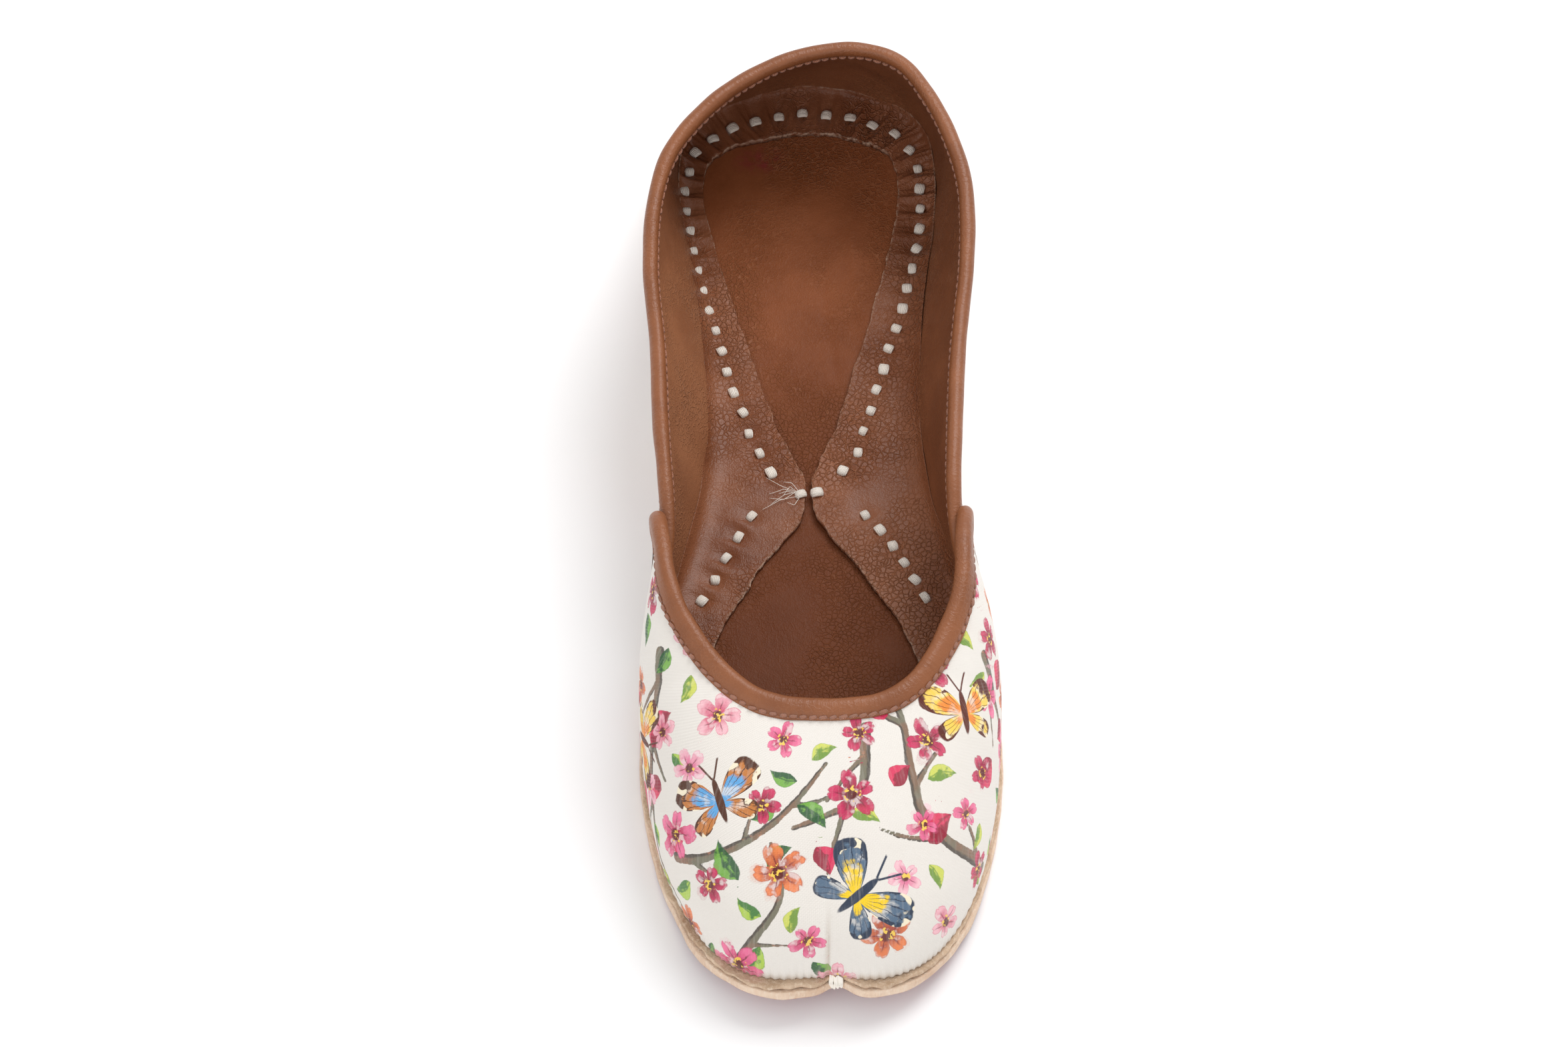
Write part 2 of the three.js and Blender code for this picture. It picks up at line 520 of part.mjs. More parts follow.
const shoe = new THREE.Group();
function add(name, made, material) {
  const mesh = new THREE.Mesh(geometryOf(made), material);
  mesh.name = name;
  shoe.add(mesh);
}
add("outsole", outsole, soleRed);
add("heel_lift", lift, soleRed);
add("midsole", midsole, rawLeather);
add("insole", insole, liningBrown);
add("upper", upper, clothCream);
add("lining_margin", margin, liningBrown);
add("vamp_binding", vampBinding, leatherBrown);
add("quarter_binding", quarterBinding, leatherBrown);

// The origin lies on the floor under the middle of the whole shoe.
const bounds = new THREE.Box3().setFromObject(shoe);
const middle = bounds.getCenter(new THREE.Vector3());
shoe.position.set(-middle.x, -middle.y, 0);

export default shoe;
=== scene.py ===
"""A mojari: a flat slip-on shoe with a printed cloth upper, brown leather lining and bindings,
and a red leather sole stitched by hand with white cotton.

Sizes are in millimetres up to the point where a mesh is made, with the toe towards -Y.
A place on the upper is (u, v): u is a share of a turn from the toe, rising along the +X side, and v
runs from the sole at 0 to the top edge at 1.
"""

import math

import bmesh
import bpy
import numpy as np
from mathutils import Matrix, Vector


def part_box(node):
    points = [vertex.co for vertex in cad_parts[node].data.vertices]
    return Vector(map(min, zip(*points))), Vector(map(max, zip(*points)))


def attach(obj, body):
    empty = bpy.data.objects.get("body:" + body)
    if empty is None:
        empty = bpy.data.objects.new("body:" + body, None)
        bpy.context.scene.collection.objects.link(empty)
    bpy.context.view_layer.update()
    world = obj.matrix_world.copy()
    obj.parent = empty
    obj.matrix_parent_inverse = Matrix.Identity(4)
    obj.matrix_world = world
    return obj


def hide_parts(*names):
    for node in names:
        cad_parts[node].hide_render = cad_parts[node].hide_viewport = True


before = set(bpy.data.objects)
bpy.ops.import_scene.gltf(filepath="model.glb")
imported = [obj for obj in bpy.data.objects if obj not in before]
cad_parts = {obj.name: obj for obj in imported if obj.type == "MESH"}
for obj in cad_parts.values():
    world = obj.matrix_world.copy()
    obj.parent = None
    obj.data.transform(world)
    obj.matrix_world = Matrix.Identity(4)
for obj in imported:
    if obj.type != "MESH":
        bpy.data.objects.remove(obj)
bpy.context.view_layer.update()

MM = 0.001
SEED = 11
SMALL_TURN = 1e-3

# Driving sizes, the same as the solids'.
SOLE_LENGTH = 260
BALL_WIDTH = 87
INSTEP_HEIGHT = 45
HEEL_HEIGHT = 54
TOE_SPRING = 7
OUTSOLE_THICKNESS = 3.2
MIDSOLE_THICKNESS = 1.4
LIFT_THICKNESS = 2.6
INSOLE_THICKNESS = 2
MARGIN_THICKNESS = 1.3
MARGIN_SHIFT = -1.5
MARGIN_SLIT = 0.6
WALL = 1.5
CLEARANCE = 0.3
SOLE_LEDGE = 1.6
VAMP_STEP = 1.2
WING_FLARE = 0.9
WING_CORNER = 6
QUARTER_TUCK = 1.2
NOTCH_DEPTH = 2.6
NOTCH_WIDTH = 7
NOTCH_SHIFT = 2.5
SPRING_END = 0.18
FOREFOOT_END = 0.46
HEEL_BREAST = 0.765
SPINE_START = 0.12
SPINE_END = 0.87
TUCK_TOP = 0.72
STAND_OFF = 0.5
REAR_END = 0.1

# Sections round half of the shoe, from the middle of the toe to the middle of the heel, as in the solids.
SECTION_COLUMNS = (
    "name half along ledge collar_half collar_along climb lean rise bulge reach drop edge_half edge_along"
).split()
SECTIONS = (
    ("toe", 0, 0.003, 1.9, 0, 0.218, 0, 1.2, 0.28, 0.02, 0.3, 0.08, 0, 0.062),
    ("toe_lobe", 0.276, 0, 1.9, 0.126, 0.219, 0, 1.2, 0.28, 0.02, 0.29, 0.08, 0.207, 0.065),
    ("toe_corner", 0.529, 0.018, 1.6, 0.264, 0.223, 0.01, 1.1, 0.3, 0.022, 0.26, 0.085, 0.391, 0.081),
    ("toe_side", 0.724, 0.058, 1.2, 0.398, 0.233, 0.04, 0.9, 0.34, 0.025, 0.22, 0.09, 0.517, 0.112),
    ("small_toe", 0.874, 0.119, 1, 0.529, 0.253, 0.11, 0.6, 0.39, 0.03, 0.18, 0.1, 0.609, 0.162),
    ("ball_front", 0.97, 0.192, 1, 0.648, 0.283, 0.2, 0, 0.44, 0.034, 0.14, 0.11, 0.655, 0.219),
    ("ball", 1, 0.269, 1, 0.745, 0.323, 0.33, -0.6, 0.46, 0.02, 0.1, 0.15, 0.655, 0.292),
    ("wing", 0.938, 0.369, 1, 0.765, 0.377, 0.5, -1.3, 0.4, 0.034, 0.04, 0.26, 0.517, 0.377),
    ("seam", 0.793, 0.45, 0.9, 0.79, 0.45, 0.48, -1.8, 0.35, 0.04, 0.008, 0.3, 0.283, 0.446),
    ("waist", 0.655, 0.538, 0.8, 0.807, 0.527, 0.17, -1.8, 0.33, 0.046, 0, 0.31, 0, 0.526),
    ("waist_back", 0.611, 0.635, 0.8, 0.832, 0.608, 0.11, -1.3, 0.33, 0.057, 0, 0.31, 0.172, 0.608),
    ("heel_front", 0.657, 0.738, 0.9, 0.878, 0.692, 0.3, -0.7, 0.34, 0.062, 0.006, 0.31, 0.345, 0.704),
    ("heel_side", 0.747, 0.823, 1, 0.864, 0.767, 0.5, 0.2, 0.36, 0.057, 0.017, 0.31, 0.478, 0.79),
    ("heel_back_side", 0.786, 0.888, 1, 0.772, 0.821, 0.69, 1.2, 0.38, 0.046, 0.029, 0.31, 0.556, 0.858),
    ("heel_corner", 0.722, 0.944, 1, 0.579, 0.87, 0.86, 4, 0.36, 0.03, 0.046, 0.31, 0.51, 0.908),
    ("heel_round", 0.483, 0.98, 1, 0.322, 0.906, 0.96, 8, 0.38, 0.03, 0.069, 0.31, 0.299, 0.929),
    ("heel", 0, 1, 1, 0, 0.919, 1, 10, 0.4, 0.032, 0.08, 0.31, 0, 0.937),
)
HALF_STEPS = len(SECTIONS) - 1
RING_STEPS = 2 * HALF_STEPS


def column(name):
    """One column of the sections all the way round, toe first."""
    half = [row[SECTION_COLUMNS.index(name)] for row in SECTIONS]
    return np.array(half + half[-2:0:-1], float)


def section_at(name):
    return [row[0] for row in SECTIONS].index(name) / RING_STEPS


SIDE = np.array([1] * (HALF_STEPS + 1) + [-1] * (HALF_STEPS - 1), float)
RING_TURNS = np.arange(RING_STEPS) / RING_STEPS
SEAM = section_at("seam") - 0.4 / RING_STEPS
TUCK = section_at("wing") - 0.1 / RING_STEPS
FADE = section_at("ball_front")
LEVEL = section_at("waist")


def smooth(x):
    t = np.clip(x, 0, 1)
    return t * t * (3 - 2 * t)


def heel_seat(s):
    rise = (s / SOLE_LENGTH - FOREFOOT_END) / (HEEL_BREAST - 0.02 - FOREFOOT_END)
    return (LIFT_THICKNESS + CLEARANCE) * smooth(rise)


def outsole_bottom(s):
    return TOE_SPRING * np.maximum(0, 1 - s / (SPRING_END * SOLE_LENGTH)) ** 2 + heel_seat(s)


def outsole_top(s):
    return outsole_bottom(s) + OUTSOLE_THICKNESS


def midsole_top(s):
    return outsole_top(s) + CLEARANCE + MIDSOLE_THICKNESS


def feather_height(s):
    return midsole_top(s) + CLEARANCE


def insole_top(s):
    return feather_height(s) + INSOLE_THICKNESS


def stack(*axes):
    return np.stack(np.broadcast_arrays(*axes), -1).astype(float)


def unit(vectors):
    return vectors / np.maximum(np.linalg.norm(vectors, axis=-1, keepdims=True), 1e-9)


def closed_curve(points):
    """A smooth closed curve through the points, as a function of a share of a turn."""
    count = len(points)

    def at(u):
        t = np.mod(np.asarray(u, float), 1.0) * count
        i = np.floor(t).astype(int)
        w = (t - i)[..., None]
        before, start, end, after = (points[(i + k) % count] for k in (-1, 0, 1, 2))
        leave, arrive = (end - before) / 2, (after - start) / 2
        cubic, square = w**3, w**2
        return (
            (2 * cubic - 3 * square + 1) * start
            + (cubic - 2 * square + w) * leave
            + (3 * square - 2 * cubic) * end
            + (cubic - square) * arrive
        )

    return at


sole_ring = closed_curve(stack(SIDE * column("half") * BALL_WIDTH / 2, column("along") * SOLE_LENGTH, 0))


def outward(u):
    """The sole's outward normal in plan."""
    step = SMALL_TURN
    along = sole_ring(np.asarray(u) + step) - sole_ring(np.asarray(u) - step)
    return unit(stack(along[..., 1], -along[..., 0], 0))


def feather_points():
    inset = column("ledge") * SOLE_LEDGE + WALL / 2
    points = sole_ring(RING_TURNS) - outward(RING_TURNS) * inset[:, None]
    points[:, 2] = feather_height(points[:, 1])
    return points


feather_ring = closed_curve(feather_points())
collar_ring = closed_curve(
    stack(
        SIDE * column("collar_half") * BALL_WIDTH / 2 + column("lean"),
        column("collar_along") * SOLE_LENGTH,
        INSTEP_HEIGHT + column("climb") * (HEEL_HEIGHT - INSTEP_HEIGHT),
    )
)


def handle_ring(base, out, up):
    lift = stack(0, 0, up * INSTEP_HEIGHT)
    return closed_curve(base(RING_TURNS) + outward(RING_TURNS) * (out * BALL_WIDTH)[:, None] + lift)


low_handle = handle_ring(feather_ring, column("bulge"), column("rise"))
high_handle = handle_ring(collar_ring, column("reach"), -column("drop"))


def form(u, v):
    """The upper's middle surface."""
    u, v = np.broadcast_arrays(np.asarray(u, float), np.asarray(v, float))
    w = (1 - v)[..., None]
    v = v[..., None]
    return (
        feather_ring(u) * w**3
        + 3 * low_handle(u) * w**2 * v
        + 3 * high_handle(u) * w * v**2
        + collar_ring(u) * v**3
    )


def form_normal(u, v):
    step = SMALL_TURN
    u, v = np.broadcast_arrays(np.asarray(u, float), np.asarray(v, float))
    around = form(u + step, v) - form(u - step, v)
    climb = form(u, v + step) - form(u, v - step)
    return unit(np.cross(around, climb))


def from_toe(u):
    turn = np.mod(u, 1.0)
    return np.minimum(turn, 1 - turn)


CORNER_TURN = WING_CORNER / float(np.linalg.norm(form(SEAM + 0.5, 1) - form(SEAM, 1))) / 4
CORNER_CLIMB = WING_CORNER / INSTEP_HEIGHT


def vamp_offset(u, v):
    flare = WING_FLARE * smooth((v - STAND_OFF) / (1 - STAND_OFF))
    return smooth((from_toe(u) - FADE) / (TUCK - FADE)) * (VAMP_STEP + flare)


def quarter_offset(u, v):
    level = smooth((from_toe(u) - TUCK) / (LEVEL - TUCK))
    return -QUARTER_TUCK * (1 - level) * smooth((v - STAND_OFF) / (1 - STAND_OFF))


def vamp_top(u):
    t = np.clip(1 - (SEAM - from_toe(u)) / CORNER_TURN, 0, 1)
    return 1 - CORNER_CLIMB * (1 - np.sqrt(1 - t * t))


def quarter_top(u):
    share = np.minimum(1, (from_toe(u) - TUCK) / (LEVEL - TUCK))
    return TUCK_TOP + (1 - TUCK_TOP) * np.sin(math.pi / 2 * share)


def wall_point(u, v, out, offset):
    return form(u, v) + form_normal(u, v) * (offset(u, v) + out)[..., None]


OFFSETS = {"vamp": vamp_offset, "quarter": quarter_offset}


def rows_for(wall, columns, table):
    """The rows of a table that belong to a wall, each with its values by name."""
    rows = [dict(zip(columns, row)) for row in table]
    return [row for row in rows if row["wall"] == wall]


# The solids stand with their middle over the origin, so the form is moved by the same amount.
sole_low, sole_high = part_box("outsole")
SHIFT = np.array([(sole_low[0] + sole_high[0]) / 2 / MM, sole_high[1] / MM - SOLE_LENGTH, 0])

WAVE_COUNT = 14
rng = np.random.default_rng(SEED)
WAVES = rng.normal(size=(WAVE_COUNT, 3))
WAVE_PHASES = rng.uniform(0, 2 * math.pi, WAVE_COUNT)


def unevenness(points, size):
    """A smooth random height in about -1 to 1, with features of the given size."""
    total = np.zeros(points.shape[:-1])
    for direction, phase in zip(WAVES, WAVE_PHASES):
        total += np.sin(points @ direction * (2.2 / size) + phase)
    return total / math.sqrt(WAVE_COUNT)


def bump(distance, width):
    """A soft hill of height 1."""
    return np.exp(-((distance / width) ** 2))


def path_distance(points, path):
    """How far each point is from a path, and how far along the path it lies."""
    flat = points.reshape(-1, 3)
    nearest = np.full(len(flat), np.inf)
    along = np.zeros(len(flat))
    walked = 0.0
    for start, end in zip(path[:-1], path[1:]):
        step = end - start
        length = float(np.linalg.norm(step))
        share = np.clip((flat - start) @ step / max(length**2, 1e-9), 0, 1)
        distance = np.linalg.norm(flat - start - share[:, None] * step, axis=1)
        closer = distance < nearest
        nearest = np.where(closer, distance, nearest)
        along = np.where(closer, walked + share * length, along)
        walked += length
    return nearest.reshape(points.shape[:-1]), along.reshape(points.shape[:-1])


def evenly(path, pitch):
    """Points along a path, about a pitch apart."""
    length = np.concatenate([[0], np.cumsum(np.linalg.norm(np.diff(path, axis=0), axis=1))])
    at = np.linspace(0, length[-1], max(2, round(length[-1] / pitch) + 1))
    return np.stack([np.interp(at, length, path[:, k]) for k in range(path.shape[1])], 1)


# Meshes


def make_piece(name, vertices, faces, materials=(), slots=None, paints=None, weld=False):
    """A mesh object from vertices in millimetres. Paints are numbers or colours for each vertex."""
    mesh = bpy.data.meshes.new(name)
    mesh.from_pydata(((np.asarray(vertices) + SHIFT) * MM).tolist(), [], [tuple(face) for face in faces])
    for material in materials:
        mesh.materials.append(material)
    if slots is not None:
        mesh.polygons.foreach_set("material_index", np.asarray(slots, np.int32))
    for label, values in (paints or {}).items():
        values = np.asarray(values, np.float32)
        single = values.ndim == 1
        attribute = mesh.attributes.new(label, "FLOAT" if single else "FLOAT_COLOR", "POINT")
        attribute.data.foreach_set("value" if single else "color", values.ravel())
    work = bmesh.new()
    work.from_mesh(mesh)
    if weld:
        bmesh.ops.remove_doubles(work, verts=work.verts, dist=0.002 * MM)
    bmesh.ops.recalc_face_normals(work, faces=work.faces)
    work.to_mesh(mesh)
    work.free()
    mesh.polygons.foreach_set("use_smooth", np.ones(len(mesh.polygons), bool))
    mesh.update()
    piece = bpy.data.objects.new(name, mesh)
    bpy.context.scene.collection.objects.link(piece)
    return piece


def settle(piece, slot, *replaced):
    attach(piece, "root")
    if replaced:
        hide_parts(*replaced)
    return piece


def grid_faces(rows, columns, start=0, wrap_rows=False, wrap_columns=False):
    """Quads of a grid of points that is stored row by row."""
    i = np.arange(rows if wrap_rows else rows - 1)[:, None]
    j = np.arange(columns if wrap_columns else columns - 1)[None, :]
    below, beside = (i + 1) % rows, (j + 1) % columns
    corners = (i * columns + j, below * columns + j, below * columns + beside, i * columns + beside)
    return (stack(*corners).reshape(-1, 4).astype(int) + start).tolist()


def shell_piece(name, outer, inner, materials, paints=None):
    """A closed shell between two grids: the outer takes the first material, the rest the second."""
    rows, columns = outer.shape[:2]
    count = rows * columns
    vertices = np.concatenate([outer.reshape(-1, 3), inner.reshape(-1, 3)])
    edge = (
        [i * columns for i in range(rows)]
        + [(rows - 1) * columns + j for j in range(1, columns)]
        + [i * columns + columns - 1 for i in range(rows - 2, -1, -1)]
        + list(range(columns - 2, 0, -1))
    )
    rim = [(a, a + count, b + count, b) for a, b in zip(edge, edge[1:] + edge[:1])]
    outside = grid_faces(rows, columns)
    inside = [face[::-1] for face in grid_faces(rows, columns, count)]
    slots = [0] * len(outside) + [1] * (len(inside) + len(rim))
    both = {label: np.concatenate([values, values]) for label, values in (paints or {}).items()}
    return make_piece(name, vertices, outside + inside + rim, materials, slots, both)


def sweep_faces(rows, columns, start=0):
    """A tube through closed sections, with its two ends closed."""
    last = start + (rows - 1) * columns
    ends = [tuple(range(start, start + columns)), tuple(range(last + columns - 1, last - 1, -1))]
    return grid_faces(rows, columns, start, wrap_columns=True) + ends


# Node trees


class Wire:
    """A value in a node tree, so that a formula can be written as one."""

    def __init__(self, tree, socket):
        self.tree, self.socket = tree, socket

    def math(self, operation, *others):
        node = self.tree.nodes.new("ShaderNodeMath")
        node.operation = operation
        for place, value in zip(node.inputs, (self, *others)):
            plug(self.tree, value, place)
        return Wire(self.tree, node.outputs[0])

    def __add__(self, other):
        return self.math("ADD", other)

    def __sub__(self, other):
        return self.math("SUBTRACT", other)

    def __mul__(self, other):
        return self.math("MULTIPLY", other)

    def __truediv__(self, other):
        return self.math("DIVIDE", other)

    def __rsub__(self, other):
        return (self * -1) + other

    __radd__ = __add__
    __rmul__ = __mul__

    def above(self, low, high):
        """0 at low and 1 at high, softly between; low may be the greater."""
        node = self.tree.nodes.new("ShaderNodeMapRange")
        node.interpolation_type = "SMOOTHSTEP"
        for label, value in (("Value", self), ("From Min", low), ("From Max", high)):
            plug(self.tree, value, node.inputs[label])
        return Wire(self.tree, node.outputs[0])


def plug(tree, value, socket):
    if isinstance(value, Wire):
        tree.links.new(value.socket, socket)
    else:
        socket.default_value = value


def add(tree, kind, inputs=None, output=0, **settings):
    """A node's output, with the node's settings, and its inputs given by name or number."""
    node = tree.nodes.new(kind)
    for name, value in settings.items():
        setattr(node, name, value)
    for name, value in (inputs or {}).items():
        plug(tree, value, node.inputs[name])
    return Wire(tree, node.outputs[output])


def noise(tree, place, size, detail=2.0, roughness=0.5, output=0):
    """Cloudy noise with features of a size in millimetres."""
    inputs = {"Vector": place, "Scale": 1 / (size * MM), "Detail": detail, "Roughness": roughness}
    return add(tree, "ShaderNodeTexNoise", inputs, output)


def stretched(tree, place, x, y, z):
    return add(tree, "ShaderNodeVectorMath", {0: place, 1: (x, y, z)}, operation="MULTIPLY")


def mix(tree, share, a, b):
    """A colour between two colours."""
    node = tree.nodes.new("ShaderNodeMix")
    node.data_type = "RGBA"
    for place, value in ((0, share), (6, a), (7, b)):
        plug(tree, (*value, 1) if isinstance(value, tuple) else value, node.inputs[place])
    return Wire(tree, node.outputs[2])


def palette(tree, share, colours):
    """One of several colours, each for an equal part of the share."""
    node = tree.nodes.new("ShaderNodeValToRGB")
    node.color_ramp.interpolation = "CONSTANT"
    stops = node.color_ramp.elements
    for i, colour in enumerate(colours):
        stop = stops[i] if i < 2 else stops.new(i / len(colours))
        stop.position = i / len(colours)
        stop.color = (*colour, 1)
    plug(tree, share, node.inputs[0])
    return Wire(tree, node.outputs[0])


def parts_of(tree, vector):
    node = tree.nodes.new("ShaderNodeSeparateXYZ")
    plug(tree, vector, node.inputs[0])
    return [Wire(tree, socket) for socket in node.outputs]


def object_place(tree):
    return add(tree, "ShaderNodeTexCoord", output="Object")


def painted(tree, label, output="Fac"):
    return add(tree, "ShaderNodeAttribute", output=output, attribute_name=label)


def relief(tree, height, depth, strength=1.0):
    """A normal from a height of 0 to 1, with its depth in millimetres."""
    return add(tree, "ShaderNodeBump", {"Height": height, "Distance": depth * MM, "Strength": strength})


def make_group(name, inputs, outputs, build):
    """A shader group. Build gets its inputs by name, and gives back its outputs by name."""
    tree = bpy.data.node_groups.new(name, "ShaderNodeTree")
    for label, kind, value in inputs:
        socket = tree.interface.new_socket(label, in_out="INPUT", socket_type=kind)
        if value is not None:
            socket.default_value = value
    for label in outputs:
        tree.interface.new_socket(label, in_out="OUTPUT", socket_type=NUMBER)
    source = tree.nodes.new("NodeGroupInput")
    target = tree.nodes.new("NodeGroupOutput")
    given = {label: Wire(tree, source.outputs[label]) for label, _, _ in inputs}
    for label, wire in build(tree, given).items():
        tree.links.new(wire.socket, target.inputs[label])
    return tree


def use(tree, group, inputs):
    node = tree.nodes.new("ShaderNodeGroup")
    node.node_tree = group
    for name, value in inputs.items():
        plug(tree, value, node.inputs[name])
    return {socket.name: Wire(tree, socket) for socket in node.outputs}


NUMBER = "NodeSocketFloat"
VECTOR = "NodeSocketVector"


def build_grain(tree, given):
    """Leather: pores, fine lines where it has been pulled, and cloudy patches."""
    place = given["Vector"]
    drift = noise(tree, place, 5, 2, output="Color")
    drift = add(tree, "ShaderNodeVectorMath", {0: drift, "Scale": 2.2 * MM}, operation="SCALE")
    pulled = add(tree, "ShaderNodeVectorMath", {0: place, 1: drift}, operation="ADD")
    scale = given["Line spacing"].math("POWER", -1) * (1 / MM)
    cell = add(
        tree, "ShaderNodeTexVoronoi", {"Vector": pulled, "Scale": scale}, feature="DISTANCE_TO_EDGE"
    )
    patch = noise(tree, place, 22, 2).above(0.35, 0.68)
    line = cell.above(0.14, 0.0) * patch * given["Lines"]
    pores = noise(tree, place, 0.42, 2, 0.6)
    cloud = noise(tree, place, 14, 4, 0.6)
    height = pores * 0.35 + line * 0.8 + noise(tree, pulled, 1.6, 2) * 0.4
    return {"Height": height, "Line": line, "Cloud": cloud, "Pore": pores}


grain_group = make_group(
    "leather_grain",
    (("Vector", VECTOR, None), ("Line spacing", NUMBER, 1.7), ("Lines", NUMBER, 0.5)),
    ("Height", "Line", "Cloud", "Pore"),
    build_grain,
)


def build_dust(tree, given):
    """Specks and soft smudges of dust."""
    place = given["Vector"]
    smudge = noise(tree, place, 18, 4, 0.65).above(0.5, 0.75)
    speck = noise(tree, place, 0.8, 1).above(0.7, 0.78)
    return {"Mask": (smudge * 0.35 + speck) * given["Amount"]}


dust_group = make_group("dust", (("Vector", VECTOR, None), ("Amount", NUMBER, 0.2)), ("Mask",), build_dust)


def build_weave(tree, given):
    """A plain weave over a place in the cloth's own plane."""
    x, y, _ = parts_of(tree, given["Vector"])
    x = x / (given["Pitch"] * MM)
    y = y / (given["Pitch"] * MM)
    over = (x * math.pi).math("SINE").math("ABSOLUTE")
    under = (y * math.pi).math("SINE").math("ABSOLUTE")
    odd = (x.math("FLOOR") + y.math("FLOOR")).math("FLOORED_MODULO", 2)
    slub = noise(tree, stretched(tree, given["Vector"], 1, 0.12, 1), 0.8, 2)
    return {"Height": (over * odd + under * (1 - odd)) * 0.6 + slub * 0.4, "Slub": slub}


weave_group = make_group(
    "cotton_weave", (("Vector", VECTOR, None), ("Pitch", NUMBER, 0.4)), ("Height", "Slub"), build_weave
)


# Inks of the print. A motif's attribute holds its own x and y in radii, a seed, and whether it is near.


def motif(tree, label):
    x, y, seed = parts_of(tree, painted(tree, label, "Vector"))
    near = painted(tree, label, "Alpha").above(0.45, 0.55)
    return x, y, seed, near


def length_of(x, y):
    return (x * x + y * y).math("SQRT")


BLOSSOM_LIGHTS = (
    (0.9, 0.5, 0.56),
    (0.86, 0.17, 0.34),
    (0.9, 0.55, 0.6),
    (0.62, 0.03, 0.12),
    (0.85, 0.23, 0.07),
)
BLOSSOM_DARKS = (
    (0.62, 0.05, 0.14),
    (0.5, 0.01, 0.09),
    (0.75, 0.14, 0.3),
    (0.24, 0.004, 0.03),
    (0.34, 0.04, 0.02),
)
PETALS = 5
PETAL_WHITE = (0.94, 0.86, 0.84)
PETAL_VEIN = (0.16, 0.004, 0.02)
BLOSSOM_EYE = (0.12, 0.01, 0.012)
STAMEN_YELLOW = (0.9, 0.6, 0.08)


def ink_blossom(tree, ground, place):
    """A five-petalled blossom in watercolour, with a dark outline and eye."""
    x, y, seed, near = motif(tree, "blossom")
    wet = noise(tree, place, 2.6, 3) - 0.5
    radius = length_of(x, y) + wet * 0.22
    turn = y.math("ARCTAN2", x) * (PETALS / (2 * math.pi)) + seed * 7 + wet * 0.4
    petal = turn.math("FLOOR").math("FLOORED_MODULO", PETALS)
    across = (turn.math("FRACT") - 0.5).math("ABSOLUTE") * 2
    chance = add(tree, "ShaderNodeTexWhiteNoise", {"W": petal + seed * 31}, noise_dimensions="1D")
    reach = (1 - across.math("POWER", 2.4) * 0.62) * (chance * 0.26 + 0.76) - across.above(0.16, 0) * 0.07
    inside = reach - radius
    light = palette(tree, seed, BLOSSOM_LIGHTS)
    dark = palette(tree, seed, BLOSSOM_DARKS)
    wash = (radius.above(0.95, 0.15) * 0.55 + wet * 1.5 + chance * 0.35).above(0.1, 0.95)
    petals = mix(tree, wash, light, dark)
    petals = mix(tree, wet.above(0.02, 0.16) * 0.6, petals, PETAL_WHITE)
    petals = mix(tree, inside.above(0.09, 0.02) * 0.75, petals, dark)
    vein = across.above(0.14, 0.02) * radius.above(0.72, 0.4)
    petals = mix(tree, vein * 0.8, petals, PETAL_VEIN)
    petals = mix(tree, radius.above(0.26, 0.16), petals, BLOSSOM_EYE)
    stamen = noise(tree, place, 0.9, 1).above(0.56, 0.62) * radius.above(0.34, 0.28)
    petals = mix(tree, stamen, petals, STAMEN_YELLOW)
    return mix(tree, inside.above(0, 0.05) * near * 0.96, ground, petals)


LEAF_LIGHTS = ((0.42, 0.6, 0.06), (0.18, 0.42, 0.06), (0.62, 0.66, 0.1), (0.7, 0.02, 0.1))
LEAF_DARKS = ((0.05, 0.2, 0.03), (0.02, 0.1, 0.03), (0.16, 0.3, 0.03), (0.3, 0.0, 0.03))


def ink_leaf(tree, ground, place):
    """A leaf with a darker half and a midrib; the last colour is a bud's."""
    x, y, seed, near = motif(tree, "leaf")
    wet = noise(tree, place, 1.8, 3) - 0.5
    bent = y + x * x * 0.3 - 0.1 + wet * 0.25
    half = (1 - x * x) * (x * 0.25 + 0.5) * (seed.above(0.74, 0.76) * 0.5 + 1)
    inside = half - bent.math("ABSOLUTE")
    light = palette(tree, seed, LEAF_LIGHTS)
    dark = palette(tree, seed, LEAF_DARKS)
    blade = mix(tree, (bent * 2 + wet * 3).above(-0.3, 0.35), dark, light)
    blade = mix(tree, bent.math("ABSOLUTE").above(0.07, 0.02) * 0.8, blade, dark)
    blade = mix(tree, inside.above(0.1, 0.02) * 0.6, blade, dark)
    body = inside.above(0, 0.06) * near * x.math("ABSOLUTE").above(1, 0.97)
    return mix(tree, body * 0.95, ground, blade)


WING_LIGHTS = ((0.92, 0.62, 0.02), (0.12, 0.38, 0.72), (0.85, 0.27, 0.04))
WING_DARKS = ((0.03, 0.045, 0.08), (0.09, 0.03, 0.014), (0.11, 0.02, 0.01))
WING_TIPS = ((0.1, 0.16, 0.24), (0.55, 0.2, 0.05), (0.9, 0.62, 0.1))
WING_WHITE = (0.92, 0.86, 0.78)
WING_SPOT = (0.9, 0.8, 0.6)
# In degrees from straight ahead: the middle of each wing and how far it spreads.
FORE_WING = (58, 31)
HIND_WING = (122, 27)
HIND_WING_REACH = 0.74


def wing_reach(angle, middle, spread):
    """1 along a wing and 0 beside it."""
    return (((angle - middle) / spread).math("POWER", 4) * -1).math("EXPONENT")


